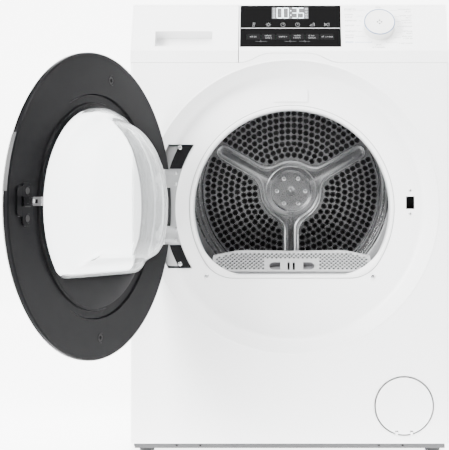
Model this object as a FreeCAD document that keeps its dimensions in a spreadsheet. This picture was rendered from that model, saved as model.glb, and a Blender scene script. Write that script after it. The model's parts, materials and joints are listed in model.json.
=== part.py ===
import FreeCAD, Part
import math
import os
import re
import Sketcher

# Front-loading tumble dryer with its door open.
# Frame: X to the right, Y to the back, Z up; the origin is the middle of the footprint on the floor.

doc = FreeCAD.newDocument("TumbleDryer")
sheet = doc.addObject("Spreadsheet::Sheet", "Sizes")

driving = {
    # cabinet
    "cabinetWidth": 595,
    "cabinetHeight": 845,
    "frontY": -300,
    "wallBackY": 262,
    "backY": 300,
    "cabinetFoot": 18,        # underside of the steel panels
    "skin": 2,                # moulded and pressed skins
    "sheetSteel": 1,
    "frontReturn": 20,        # how deep the front panel wraps round the corners
    "sideFlange": 20,
    "trayTop": 88,
    "wallTop": 824,
    # sloping control fascia
    "seamZ": 729,             # top of the front panel, bottom of the fascia
    "creaseZ": 752,           # where the fascia starts to lean back
    "slopeAngle": 28,
    "fasciaBackY": -236,
    "drawerRight": -96.6,
    "fasciaLeft": -95.1,
    "bumpLow": 79.2,            # half widths of the arched notch in the fascia
    "bumpHigh": 49.8,
    "bumpRise": 18,
    # door recess and loading opening
    "doorX": 4,
    "doorZ": 460,
    "dishRadius": 273,
    "dishFloorRadius": 251,
    "dishDepth": 33,
    "mouthZ": 458,
    "mouthRadius": 190,
    "mouthFlat": 129,
    "mouthCorner": 62,
    "bulkheadY": -232,
    # drum
    "drumZ": 496,
    "drumRadius": 287,
    "neckRadius": 262,
    "drumBackY": 203,
    "rollerRadius": 35,
    "rollerAngle": 38,
    "runGap": 0.3,
    # door
    "hingeReach": 240,        # from the hinge axis to the middle of the door
    "hingeY": -304,
    "rimY": -298,             # inner face of the closed door's rim
    "doorOpen": 113.8,
    "doorRadius": 262,
    "doorThick": 16,
    "glassRadius": 168,
    "glassFlat": 118,
    "bowlDepth": 70,
    "hingeSpread": 53,        # each hinge above and below the door's middle
    # belt and motor
    "motorX": -190,
    "motorZ": 130,
    "pulleyRadius": 10,
    "beltThick": 2,
    # controls
    "keyPitch": 27.5,
    "keyWidth": 25.6,
    "keyHeight": 13,
    "keyLow": 24,
    "knobX": 168.4,
    "knobUp": 52,
    # service flap
    "flapX": 214,
    "flapZ": 88,
    "flapRadius": 53,
    "flapHoleRadius": 58,
    # feet
    "footX": 270,
    "footFrontY": -262,
    "footBackY": 230,
    "studRadius": 5,
    "studFit": 0.05,
    "shankRadius": 1.6,       # shanks of the visible screws
}
for row, (alias, number) in enumerate(driving.items(), 1):
    sheet.set(f"A{row}", alias)
    sheet.set(f"B{row}", str(number))
    sheet.setAlias(f"B{row}", alias)
doc.recompute()

nodes = {}


# helpers

def bound(text):
    """Turn plain alias names into references to the sheet."""
    return re.sub(r"[A-Za-z]\w*", lambda m: "Sizes." + m[0] if m[0] in driving else m[0], str(text))


def value(text):
    return float(sheet.evalExpression(bound(text)))


def place(solid, x=0, y=0, z=0):
    for axis, text in zip("xyz", (x, y, z)):
        solid.setExpression(f"Placement.Base.{axis}", bound(text))
    return solid


def block(name, x, y, z):
    solid = doc.addObject("Part::Box", name)
    for side, (low, high) in zip(("Length", "Width", "Height"), (x, y, z)):
        solid.setExpression(side, bound(f"({high}) - ({low})"))
    return place(solid, x[0], y[0], z[0])


turnedTo = {
    "X": FreeCAD.Rotation(FreeCAD.Vector(0, 1, 0), 90),
    "Y": FreeCAD.Rotation(FreeCAD.Vector(1, 0, 0), -90),
    "Z": FreeCAD.Rotation(),
}


def rod(name, axis, radius, start, end, x=0, y=0, z=0):
    """A cylinder along an axis, from start to end on that axis."""
    solid = doc.addObject("Part::Cylinder", name)
    solid.setExpression("Radius", bound(radius))
    solid.setExpression("Height", bound(f"({end}) - ({start})"))
    solid.Placement = FreeCAD.Placement(FreeCAD.Vector(), turnedTo[axis])
    spot = {"X": (start, y, z), "Y": (x, start, z), "Z": (x, y, start)}[axis]
    return place(solid, *spot)


def fuse(name, *solids):
    whole = doc.addObject("Part::MultiFuse", name)
    whole.Shapes = list(solids)
    return whole


def cut(name, base, *tools):
    rest = doc.addObject("Part::Cut", name)
    rest.Base = base
    rest.Tool = tools[0] if len(tools) == 1 else fuse(name + "_tools", *tools)
    return rest


def common(name, first, second):
    both = doc.addObject("Part::MultiCommon", name)
    both.Shapes = [first, second]
    return both


def group(name, *solids):
    several = doc.addObject("Part::Compound", name)
    several.Links = list(solids)
    return several


def node(name, solid):
    solid.Label = name
    nodes[name] = solid
    return solid


def originPlane(body, role):
    return next(f for f in body.Origin.OriginFeatures if f.Role == role)


def outlineSketch(body, role, points):
    """A closed outline whose corners are bound to expressions."""
    sketch = body.newObject("Sketcher::SketchObject", body.Name + "_outline")
    sketch.AttachmentSupport = (originPlane(body, role), [""])
    sketch.MapMode = "FlatFace"
    spots = [FreeCAD.Vector(value(a), value(b), 0) for a, b in points]
    count = len(points)
    for i in range(count):
        sketch.addGeometry(Part.LineSegment(spots[i], spots[(i + 1) % count]), False)
    for i in range(count):
        sketch.addConstraint(Sketcher.Constraint("Coincident", i, 2, (i + 1) % count, 1))
    for i, corner in enumerate(points):
        for kind, text in zip(("DistanceX", "DistanceY"), corner):
            index = sketch.addConstraint(Sketcher.Constraint(kind, -1, 1, i, 1, value(text)))
            sketch.setExpression(f"Constraints[{index}]", bound(text))
    return sketch


def turned(name, points, x=0, y=0, z=0):
    """A body of revolution about Y: each point is (radius, distance along Y)."""
    body = doc.addObject("PartDesign::Body", name)
    sketch = outlineSketch(body, "XY_Plane", points)
    spin = body.newObject("PartDesign::Revolution", name + "_turn")
    spin.Profile = sketch
    spin.ReferenceAxis = (sketch, ["V_Axis"])
    spin.Angle = 360
    return place(body, x, y, z)


def prism(name, role, points, low, high, x=0, y=0, z=0):
    """An outline on an origin plane, padded from low to high along the plane's world axis."""
    body = doc.addObject("PartDesign::Body", name)
    sketch = outlineSketch(body, role, points)
    pad = body.newObject("PartDesign::Pad", name + "_pad")
    pad.Profile = sketch
    pad.setExpression("Length", bound(f"({high}) - ({low})"))
    pad.Reversed = role == "XZ_Plane"
    spot = {"YZ_Plane": (low, y, z), "XZ_Plane": (x, low, z), "XY_Plane": (x, y, low)}[role]
    return place(body, *spot)


def soften(body, radius, pick):
    """Round the edges of a body's last feature that pick accepts."""
    doc.recompute()
    tip = body.Tip
    chosen = [f"Edge{i}" for i, edge in enumerate(tip.Shape.Edges, 1) if pick(edge)]
    rounding = body.newObject("PartDesign::Fillet", body.Name + "_round")
    rounding.Base = (tip, chosen)
    rounding.setExpression("Radius", bound(radius))
    return body


def ringEdge(radius, along):
    """Picks circular edges of a turned body by radius and distance along its axis."""
    def pick(edge):
        if edge.Curve.TypeId != "Part::GeomCircle":
            return False
        return abs(edge.Curve.Radius - value(radius)) < 0.1 and abs(edge.Curve.Center.y - value(along)) < 0.1
    return pick


def straightAlong(direction):
    """Picks straight edges along a direction."""
    def pick(edge):
        if edge.Curve.TypeId != "Part::GeomLine":
            return False
        return abs(edge.Curve.Direction.dot(direction)) > 0.999
    return pick


alongX = FreeCAD.Vector(1, 0, 0)
alongY = FreeCAD.Vector(0, 1, 0)
alongZ = FreeCAD.Vector(0, 0, 1)


def rounded(name, solid, radius, pick):
    """Round chosen edges of a Part solid."""
    doc.recompute()
    soft = doc.addObject("Part::Fillet", name)
    soft.Base = solid
    size = value(radius)
    soft.Edges = [(i, size, size) for i, edge in enumerate(solid.Shape.Edges, 1) if pick(edge)]
    return soft


def mouthForm(name, grow, low, high):
    """The loading opening's shape: a circle with a flat, round-cornered bottom."""
    disc = rod(name + "_disc", "Y", f"mouthRadius + ({grow})", low, high, x="doorX", z="mouthZ")
    floor = f"mouthZ - mouthFlat - ({grow})"
    below = block(name + "_below", ("-300", "300"), (f"({low}) - 1", f"({high}) + 1"), ("100", floor))
    return rounded(name, cut(name + "_flat", disc, below), f"mouthCorner + ({grow})", straightAlong(alongY))


def layOnSlope(solid, across, depth, up, turn=0):
    """Put a solid on the leaning fascia: across it, depth into the machine, and up the slope."""
    lean = value("slopeAngle")
    solid.Placement = FreeCAD.Placement(FreeCAD.Vector(), FreeCAD.Rotation(alongX, turn - lean))
    return place(solid, across, f"frontY + ({depth}) * cos(slopeAngle) + ({up}) * sin(slopeAngle)",
                 f"creaseZ - ({depth}) * sin(slopeAngle) + ({up}) * cos(slopeAngle)")


def slopeBlock(name, x, depth, up):
    return layOnSlope(block(name, x, depth, up), x[0], depth[0], up[0])


def slopeRod(name, radius, start, end, x, up):
    return layOnSlope(rod(name, "Y", radius, start, end), x, start, up, turn=-90)


def onDoor(solid):
    """Swing a solid from door coordinates (Y = 0 on the rim's inner face) to the open door."""
    solid.Placement = FreeCAD.Placement(FreeCAD.Vector(), FreeCAD.Rotation(alongZ, -value("doorOpen")))
    solid.setExpression("Placement.Rotation.Angle", bound("-doorOpen"))
    reach = "hingeReach * cos(doorOpen) + (rimY - hingeY) * sin(doorOpen)"
    swing = "(rimY - hingeY) * cos(doorOpen) - hingeReach * sin(doorOpen)"
    return place(solid, f"doorX - hingeReach + {reach}", f"hingeY + {swing}", "doorZ")


halfWidth = "cabinetWidth / 2"
doorHingeX = "doorX - hingeReach"


# cabinet panels

def sidePanel(name, side):
    """A folded steel side: a skin with a flange all round its inner face."""
    outer = (f"-({halfWidth})", f"sideFlange - {halfWidth}")
    inner = (f"sheetSteel - {halfWidth}", f"sideFlange + 1 - {halfWidth}")
    depth = ("frontY + frontReturn + 0.5", "wallBackY")
    height = ("cabinetFoot", "wallTop")
    if side > 0:
        outer = (f"{halfWidth} - sideFlange", halfWidth)
        inner = (f"{halfWidth} - sideFlange - 1", f"{halfWidth} - sheetSteel")
    plate = block(name + "_plate", outer, depth, height)
    hollow = block(name + "_hollow", inner, (depth[0] + " + sheetSteel", depth[1] + " - sheetSteel"),
                   (height[0] + " + sheetSteel", height[1] + " - sheetSteel"))
    front = block(name + "_step", (f"-({halfWidth}) - 1", f"{halfWidth} + 1"),
                  ("frontY", "fasciaBackY + 0.6"),
                  ("seamZ", "wallTop + 1"))
    trayRoom = block(name + "_tray_room", inner, (depth[0] + " - 1", depth[1] + " + 1"),
                     ("cabinetFoot - 1", "trayTop + 1"))
    node(name, cut(name, plate, hollow, front, trayRoom))


sidePanel("left_side_panel", -1)
sidePanel("right_side_panel", 1)

worktopBlock = prism("worktop", "YZ_Plane", [
    ("fasciaBackY + 0.6", "wallTop + 0.5"), ("290", "wallTop + 0.5"),
    ("290", "cabinetHeight"), ("fasciaBackY + 0.6", "cabinetHeight")],
    f"-({halfWidth})", halfWidth)
soften(worktopBlock, "4", lambda e: e.CenterOfMass.z > value("cabinetHeight") - 0.1
       and (straightAlong(alongY)(e) or e.CenterOfMass.y > 280))
node("worktop", worktopBlock)

# the base is a moulded tray with a boss for each foot
footSpots = [("-footX", "footFrontY"), ("footX", "footFrontY"), ("-footX", "footBackY"),
             ("footX", "footBackY")]
tray = block("tray_outer", ("-292", "288"), ("frontY + 8", "wallBackY - 4"), ("cabinetFoot - 6", "trayTop"))
trayHollow = block("tray_inner", ("-288", "284"), ("frontY + 12", "wallBackY - 8"),
                   ("cabinetFoot - 2", "trayTop + 1"))
bosses = [rod("foot_boss", "Z", "13", "cabinetFoot - 3", "44", x=x, y=y) for x, y in footSpots]
bores = [rod("foot_bore", "Z", "studRadius + studFit", "cabinetFoot - 7", "45", x=x, y=y) for x,
         y in footSpots]
trayOpen = cut("tray_open", tray, trayHollow)
flapBore = rod("tray_flap_bore", "Y", "flapHoleRadius", "frontY + 7", "frontY + 13", x="flapX", z="flapZ")
node("base_tray", cut("base_tray", fuse("tray_whole", trayOpen, *bosses), flapBore, *bores))


def foot(name, x, y):
    """A levelling foot: rubber pad, round body and threaded stud."""
    pad = rod(name + "_pad", "Z", "14", "0", "5", x=x, y=y)
    body = rod(name + "_body", "Z", "13", "5", "cabinetFoot - 6", x=x, y=y)
    stud = rod(name + "_stud", "Z", "studRadius", "cabinetFoot - 6", "40", x=x, y=y)
    return fuse(name, pad, body, stud)


node("front_left_foot", foot("front_left_foot", *footSpots[0]))
node("front_right_foot", foot("front_right_foot", *footSpots[1]))
node("rear_feet", group("rear_feet", foot("rear_left", *footSpots[2]), foot("rear_right", *footSpots[3])))

# front panel with the door recess


def bumpOutline(gap):
    """The panel's outline, whose top edge arches up under the display."""
    side = f"{halfWidth}"
    top = f"seamZ + ({gap})"
    return [(f"-({side})", "cabinetFoot"), (side, "cabinetFoot"), (side, top), (f"bumpLow + ({gap})", top),
            (f"bumpHigh + ({gap})", top + " + bumpRise"), (f"-bumpHigh - ({gap})", top + " + bumpRise"),
            (f"-bumpLow - ({gap})", top), (f"-({side})", top)]


def isArchCorner(edge):
    middle = edge.CenterOfMass
    return straightAlong(alongY)(edge) and middle.z > value("seamZ") - 1 and abs(middle.x) < 150


def panelForm(name, gap, low, high):
    return soften(prism(name, "XZ_Plane", bumpOutline(gap), low, high), "60", isArchCorner)


panel = panelForm("panel_form", "0", "frontY", "frontY + frontReturn")
soften(panel, "5", lambda e: straightAlong(alongZ)(e) and e.CenterOfMass.y < 1
       and abs(e.CenterOfMass.x) > 290)
panelHollow = block("panel_hollow", (f"skin - {halfWidth}", f"{halfWidth} - skin"),
                    ("frontY + skin", "frontY + frontReturn + 1"), ("cabinetFoot - 1", "seamZ - skin"))
archHollow = block("arch_hollow", ("-120", "120"), ("frontY + skin", "frontY + frontReturn + 1"),
                   ("seamZ - skin - 1", "seamZ + bumpRise + 1"))
# the pressed dish: one form for its outside, one for its hollow
dishBack = turned("dish_back", [
    ("0", "frontY + 0.5"), ("dishRadius + skin", "frontY + 0.5"),
    ("dishFloorRadius + skin", "frontY + dishDepth + skin"), ("0", "frontY + dishDepth + skin")],
    x="doorX", z="doorZ")
soften(dishBack, "16", ringEdge("dishFloorRadius + skin", "frontY + dishDepth + skin"))
dishHollow = turned("dish_hollow", [
    ("0", "frontY - 1"), ("dishRadius + 1.3", "frontY - 1"), ("dishRadius", "frontY + 1"),
    ("dishFloorRadius", "frontY + dishDepth"), ("0", "frontY + dishDepth")],
    x="doorX", z="doorZ")
soften(dishHollow, "14", ringEdge("dishFloorRadius", "frontY + dishDepth"))
panelSkin = cut("panel_skin", panel, panelHollow, archHollow)

# hinge window in the dish: it follows the loading opening at a constant margin
hingeRing = cut("hinge_window",
                block("hinge_window_block", ("-236", "-176"), ("frontY + 20", "frontY + 40"),
                      ("mouthZ - 114", "mouthZ + 120")),
                rod("hinge_window_arc", "Y", "mouthRadius + 30", "frontY + 19", "frontY + 41",
                    x="doorX", z="mouthZ"))
latchSlot = block("latch_slot", ("doorX + 216", "doorX + 232"), ("frontY + 20", "frontY + 45"),
                  ("doorZ - 4", "doorZ + 20"))
flapHole = rod("flap_hole", "Y", "flapHoleRadius", "frontY - 1", "frontY + 10", x="flapX", z="flapZ")
# screws in the dish: left and right of the filter, then above and below the latch
dishScrews = [("-157", "328", "4"), ("157", "328", "4"), ("doorX + 224", "doorZ + 31", "3"),
              ("doorX + 224", "doorZ - 13", "3")]
dishBores = [rod("dish_bore", "Y", "shankRadius", "frontY + 20", "frontY + 45", x=x, z=z) for x, z,
             _ in dishScrews]
frontWhole = fuse("front_whole", panelSkin, dishBack)
node("front_panel", cut("front_panel", frontWhole, dishHollow,
                        mouthForm("mouth_cut", "0", "frontY + 20", "frontY + 45"),
                        hingeRing, latchSlot, flapHole, *dishBores))

# rear of the cabinet

rearPlate = block("rear_plate", (f"1 - {halfWidth}", f"{halfWidth} - 1"), ("wallBackY", "wallBackY + 1.5"),
                  ("cabinetFoot", "wallTop"))
airRing = cut("air_ring",
              rod("air_outer", "Y", "200", "wallBackY - 1", "wallBackY + 3", x="doorX", z="drumZ"),
              rod("air_inner", "Y", "80", "wallBackY - 1", "wallBackY + 3", x="doorX", z="drumZ"),
              block("air_spoke", ("-220", "230"), ("wallBackY - 1", "wallBackY + 3"),
                    ("drumZ - 20", "drumZ + 20")),
              block("air_post", ("doorX - 20", "doorX + 20"), ("wallBackY - 1", "wallBackY + 3"),
                    ("250", "740")))
bearingHole = rod("bearing_hole", "Y", "24.05", "wallBackY - 1", "wallBackY + 3", x="doorX", z="drumZ")
node("rear_panel", cut("rear_panel", rearPlate, airRing, bearingHole))

# a pressed duct cover bridges from the fan up to the drum's back
coverForm = prism("cover_form", "XZ_Plane", [
    ("-262", "92"), ("150", "92"), ("222", "300"), ("222", "640"), ("130", "742"), ("-122", "742"),
    ("-214", "640"), ("-262", "300")], "wallBackY + 1.5", "backY")
soften(coverForm, "45", straightAlong(alongY))
coverHollow = prism("cover_hollow", "XZ_Plane", [
    ("-260", "94"), ("149", "94"), ("220", "300"), ("220", "639"), ("129", "740"), ("-121", "740"),
    ("-212", "639"), ("-260", "300")], "wallBackY", "backY - 1.5")
soften(coverHollow, "43", straightAlong(alongY))
node("rear_duct_cover", cut("rear_duct_cover", coverForm, coverHollow))

# front bulkhead: closes the drum's mouth and carries rollers, felt and filter

bulkheadDisc = rod("bulkhead_disc", "Y", "drumRadius - 3", "bulkheadY", "bulkheadY + 3", x="doorX",
                   z="drumZ")
bulkheadPlate = block("bulkhead_plate", ("-274", "274"), ("bulkheadY", "bulkheadY + 3"), ("150", "drumZ"))
tunnel = mouthForm("tunnel_outer", "-0.6", "frontY + dishDepth - 1", "bulkheadY + 1")
collar = rod("collar", "Y", "255.6", "bulkheadY + 2", "bulkheadY + 20", x="doorX", z="drumZ")
collarBore = rod("collar_bore", "Y", "251", "bulkheadY + 3", "bulkheadY + 21", x="doorX", z="drumZ")
ductGate = block("duct_gate", ("-128.5", "128.5"), ("bulkheadY - 1", "bulkheadY + 4"), ("149", "196.5"))
wellOuter = block("well_outer", ("-142", "142"), ("frontY + dishDepth + 3.5", "bulkheadY + 1"),
                  ("214", "345"))
wellInner = block("well_inner", ("-140", "140"), ("frontY + dishDepth + 5.5", "bulkheadY - 1"),
                  ("213", "360"))
tunnelBore = mouthForm("tunnel_inner", "-4", "frontY + dishDepth - 2", "bulkheadY + 5")
bulkheadWhole = fuse("bulkhead_whole", bulkheadDisc, bulkheadPlate, tunnel, wellOuter, collar)
node("front_bulkhead", cut("front_bulkhead", bulkheadWhole, tunnelBore, wellInner, collarBore, ductGate))

node("front_felt", turned("front_felt", [
    ("255.8", "bulkheadY + 5"), ("neckRadius - 0.3", "bulkheadY + 5"),
    ("neckRadius - 0.3", "bulkheadY + 18"), ("255.8", "bulkheadY + 18")], x="doorX", z="drumZ"))

sealOuter = mouthForm("seal_outer", "-4.3", "frontY + dishDepth - 3", "frontY + dishDepth + 6")
sealInner = mouthForm("seal_inner", "-6.5", "frontY + dishDepth - 4", "frontY + dishDepth + 7")
node("mouth_seal", cut("mouth_seal", sealOuter, sealInner))

# drum

node("drum_shell", turned("drum_shell", [
    ("neckRadius", "bulkheadY + 5"), ("neckRadius + 1.2", "bulkheadY + 5"),
    ("neckRadius + 1.2", "-214"), ("drumRadius", "-206"), ("drumRadius", "drumBackY"),
    ("216", "drumBackY"), ("216", "drumBackY - 1.2"), ("drumRadius - 1.2", "drumBackY - 1.2"),
    ("drumRadius - 1.2", "-205"), ("neckRadius", "-212.6")], x="doorX", z="drumZ"))

node("drum_back", turned("drum_back", [
    ("10.6", "drumBackY - 6"), ("192", "drumBackY - 6"), ("198", "drumBackY - 13"),
    ("210", "drumBackY - 13"),
    ("215.6", "drumBackY - 6"), ("215.6", "drumBackY - 1"), ("212", "drumBackY - 1"),
    ("209", "drumBackY - 11.5"), ("199", "drumBackY - 11.5"), ("193", "drumBackY - 4.5"),
    ("10.6", "drumBackY - 4.5")], x="doorX", z="drumZ"))


def lifter(angle):
    """A hollow-backed paddle on the drum's inner wall."""
    low = "-(drumRadius - 2)"
    high = "-(drumRadius - 46)"
    body = prism(f"lifter_{angle}", "XZ_Plane", [("-38", low), ("38", low), ("16", high), ("-16", high)],
                 "-195", "drumBackY - 16")
    soften(body, "9", lambda e: straightAlong(alongY)(e) and e.CenterOfMass.z > value(high) - 1)
    body.Placement = FreeCAD.Placement(FreeCAD.Vector(), FreeCAD.Rotation(alongY, angle))
    return place(body, "doorX", "-195", "drumZ")


shellBore = rod("shell_bore", "Y", "drumRadius - 1.5", "-200", "drumBackY - 2", x="doorX", z="drumZ")
lifters = group("lifters_raw", *[lifter(angle) for angle in (30, 150, 270)])
node("drum_lifters", common("drum_lifters", lifters, shellBore))

node("drum_shaft", turned("drum_shaft", [
    ("0", "drumBackY - 13"), ("42", "drumBackY - 13"), ("45", "drumBackY - 11"), ("56", "drumBackY - 6.2"),
    ("10", "drumBackY - 6.2"), ("10", "wallBackY + 20"), ("0", "wallBackY + 20")], x="doorX", z="drumZ"))


def ringScrew(name, angle, circle, radius, start, end):
    x = f"doorX + {circle} * cos({angle})"
    z = f"drumZ + {circle} * sin({angle})"
    return rod(name, "Y", radius, start, end, x=x, z=z)


node("hub_screws", group("hub_screws", *[
    ringScrew("hub_screw", 60 * i, 31.5, "5", "drumBackY - 16", "drumBackY - 13") for i in range(6)]))

node("rear_bearing", turned("rear_bearing", [
    ("10.05", "wallBackY - 5"), ("34", "wallBackY - 5"), ("34", "wallBackY"), ("24", "wallBackY"),
    ("24", "wallBackY + 15"), ("10.05", "wallBackY + 15")], x="doorX", z="drumZ"))

# two rollers carry the drum's front end
rollerCentre = "(drumRadius + rollerRadius + runGap)"


def rollerSpot(side):
    return (f"doorX + ({side}) * {rollerCentre} * sin(rollerAngle)",
            f"drumZ - {rollerCentre} * cos(rollerAngle)")


def roller(name, side):
    x, z = rollerSpot(side)
    return turned(name, [("6.05", "-203"), ("rollerRadius", "-203"), ("rollerRadius", "-183"),
                         ("6.05", "-183")], x=x, z=z)


node("left_roller", roller("left_roller", -1))
node("right_roller", roller("right_roller", 1))


def rollerAxle(side):
    x, z = rollerSpot(side)
    pin = rod("axle_pin", "Y", "6", "bulkheadY + 3", "-176", x=x, z=z)
    shoulder = rod("axle_shoulder", "Y", "11", "bulkheadY + 3", "-204", x=x, z=z)
    return fuse("roller_axle", pin, shoulder)


node("roller_axles", group("roller_axles", rollerAxle(-1), rollerAxle(1)))

# drive


def beltLoop(offset, low, high):
    """A tight loop round drum and pulley, offset outwards, as one extruded face."""
    big = FreeCAD.Vector(value("doorX"), low, value("drumZ"))
    small = FreeCAD.Vector(value("motorX"), low, value("motorZ"))
    bigRadius = value("drumRadius") + offset
    smallRadius = value("pulleyRadius") + offset
    heading = math.atan2(small.z - big.z, small.x - big.x)
    spread = math.acos((bigRadius - smallRadius) / (small - big).Length)

    def at(centre, radius, angle):
        return centre + FreeCAD.Vector(radius * math.cos(angle), 0, radius * math.sin(angle))

    left, right = heading - spread, heading + spread
    edges = [
        Part.Arc(at(big, bigRadius, right), at(big, bigRadius, heading + math.pi),
                 at(big, bigRadius, left)).toShape(),
        Part.LineSegment(at(big, bigRadius, left), at(small, smallRadius, left)).toShape(),
        Part.Arc(at(small, smallRadius, left), at(small, smallRadius, heading),
                 at(small, smallRadius, right)).toShape(),
        Part.LineSegment(at(small, smallRadius, right), at(big, bigRadius, right)).toShape(),
    ]
    return Part.Face(Part.Wire(edges)).extrude(FreeCAD.Vector(0, high - low, 0))


belt = doc.addObject("Part::Feature", "drive_belt")
beltGap = value("runGap")
belt.Shape = beltLoop(beltGap + value("beltThick"), -30, -16).cut(beltLoop(beltGap, -31, -15))
node("drive_belt", belt)

motorSpot = {"x": "motorX", "z": "motorZ"}
motorShell = turned("motor_shell", [
    ("7.05", "-6"), ("30", "-6"), ("54", "2"), ("54", "108"), ("30", "116"), ("7.05", "116")], **motorSpot)
motorFoot = block("motor_foot", ("motorX - 45", "motorX + 45"), ("10", "100"),
                  ("cabinetFoot - 2", "motorZ - 45"))
node("drive_motor", fuse("drive_motor", motorShell, motorFoot))
motorAxle = rod("motor_axle", "Y", "7", "-14", "150", **motorSpot)
pulley = turned("pulley_form", [
    ("0", "-33"), ("pulleyRadius + 4", "-33"), ("pulleyRadius + 4", "-31"), ("pulleyRadius", "-31"),
    ("pulleyRadius", "-15"), ("pulleyRadius + 4", "-15"), ("pulleyRadius + 4", "-12"), ("0", "-12")],
    **motorSpot)
node("motor_pulley", fuse("motor_pulley", motorAxle, pulley))


def fanBlade(turn):
    """One radial blade, standing on the wheel's disc."""
    blade = block("fan_blade", ("30", "58"), ("0", "32"), ("-1", "1"))
    holder = fuse("fan_blade_turned", blade, rod("fan_blade_foot", "X", "1.5", "29", "31", y="3"))
    holder.Placement = FreeCAD.Placement(FreeCAD.Vector(), FreeCAD.Rotation(alongY, turn))
    return place(holder, "motorX", "134", "motorZ")


fanBladeCount = 12
fanDisc = turned("fan_disc", [("7.02", "130"), ("60", "130"), ("60", "133"), ("32", "134"),
                              ("32", "166"), ("28", "166"), ("28", "140"), ("7.02", "140")], **motorSpot)
node("fan_wheel",
     fuse("fan_wheel", fanDisc, *[fanBlade(360 / fanBladeCount * i) for i in range(fanBladeCount)]))

scrollOuter = fuse("scroll_outer", rod("scroll_drum", "Y", "74", "122", "190", **motorSpot),
                   block("scroll_outlet", ("motorX - 74", "motorX"), ("122", "190"),
                         ("motorZ", "motorZ + 110")),
                   block("scroll_spout", ("motorX - 70", "motorX - 4"), ("189", "wallBackY - 0.5"),
                         ("motorZ + 40", "motorZ + 110")))
scrollInner = fuse("scroll_inner", rod("scroll_space", "Y", "72", "124", "188", **motorSpot),
                   rod("scroll_eye", "Y", "24", "120", "125", **motorSpot),
                   block("scroll_throat", ("motorX - 72", "motorX - 2"), ("124", "188"),
                         ("motorZ", "motorZ + 108")),
                   block("spout_space", ("motorX - 68", "motorX - 6"), ("187", "wallBackY"),
                         ("motorZ + 42", "motorZ + 108")))
node("fan_housing", cut("fan_housing", scrollOuter, scrollInner))

# heat pump

ductShell = fuse("duct_shell",
                 block("duct_drop", ("-142", "142"), ("frontY + dishDepth + 3.5", "bulkheadY - 0.5"),
                       ("92", "213")),
                 block("duct_box", ("-128", "128"), ("bulkheadY - 3", "-36"), ("90", "196")))
ductSpace = fuse("duct_space",
                 block("drop_space", ("-140", "140"), ("frontY + dishDepth + 5.5", "bulkheadY - 2.5"),
                       ("94", "214")),
                 block("box_space", ("-126", "126"), ("bulkheadY - 6", "-35"), ("92", "194")))
pipeHoles = [rod("pipe_hole", "X", radius, "120", "130", y=y, z=z)
             for radius, y, z in (("4.3", "-90", "170"), ("5.3", "-180", "150"))]
node("air_duct", cut("air_duct", ductShell, ductSpace, *pipeHoles))
node("heat_exchangers", group("heat_exchangers",
                              block("evaporator", ("-118", "118"), ("-215", "-140"), ("96", "190")),
                              block("condenser", ("-118", "118"), ("-130", "-45"), ("96", "190"))))
compressorBody = turned("compressor_body",
                        [("0", "0"), ("52", "0"), ("62", "14"), ("62", "150"), ("48", "172"),
                                             ("0", "176")])
compressorBody.Placement = FreeCAD.Placement(FreeCAD.Vector(), FreeCAD.Rotation(alongX, 90))
place(compressorBody, "180", "110", "cabinetFoot + 8")
compressorBase = block("compressor_base", ("112", "248"), ("52", "168"),
                       ("cabinetFoot - 2", "cabinetFoot + 9"))
node("compressor", fuse("compressor", compressorBody, compressorBase))


def pipeRun(points, bend, radius):
    """A round pipe through points, with a tangent arc at each corner."""
    corners = [FreeCAD.Vector(*point) for point in points]
    edges = []
    last = corners[0]
    for before, corner, after in zip(corners, corners[1:], corners[2:]):
        back = (before - corner).normalize()
        onward = (after - corner).normalize()
        half = back.getAngle(onward) / 2
        leg = bend / math.tan(half)
        enter, leave = corner + back * leg, corner + onward * leg
        middle = corner + (back + onward).normalize() * (bend / math.sin(half) - bend)
        edges.append(Part.LineSegment(last, enter).toShape())
        edges.append(Part.Arc(enter, middle, leave).toShape())
        last = leave
    edges.append(Part.LineSegment(last, corners[-1]).toShape())
    path = Part.Wire(edges)
    heading = (corners[1] - corners[0]).normalize()
    ring = Part.Wire(Part.makeCircle(radius, corners[0], heading))
    return path.makePipeShell([ring], True, False)


pipes = doc.addObject("Part::Feature", "refrigerant_pipes")
pipes.Shape = Part.makeCompound([
    pipeRun([(118.5, -90, 170), (162, -90, 170), (162, -90, 60), (162, 47, 60)], 14, 4),
    pipeRun([(118.5, -180, 150), (200, -180, 150), (200, -180, 80), (200, 47, 80)], 14, 5),
])
node("refrigerant_pipes", pipes)

node("drain_pump", fuse("drain_pump",
                        block("pump_sump", ("-60", "10"), ("60", "130"), ("cabinetFoot - 2", "60")),
                        rod("pump_motor", "Z", "24", "59", "110", x="-25", y="95"),
                        rod("pump_spout", "X", "6", "-90", "-59", y="95", z="45")))

# control fascia

slopeTopY = "frontY + (cabinetHeight - creaseZ) * tan(slopeAngle)"


def fasciaOutline(inset):
    """Side view of the fascia and of the drawer front beside it."""
    back = "fasciaBackY" if inset == "0" else "fasciaBackY + 1"
    lean = f"frontY + ({inset})"
    return [(lean, f"seamZ + 0.6 + ({inset})"), (lean, "creaseZ"),
            (f"{slopeTopY} + ({inset}) * 0.6", f"cabinetHeight - ({inset})"),
            (back, f"cabinetHeight - ({inset})"), (back, f"seamZ + 0.6 + ({inset})")]


def isTopFront(edge):
    middle = edge.CenterOfMass
    return (straightAlong(alongX)(edge) and middle.z > value("cabinetHeight") - 0.5
            and middle.y < value("fasciaBackY") - 5)


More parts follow.
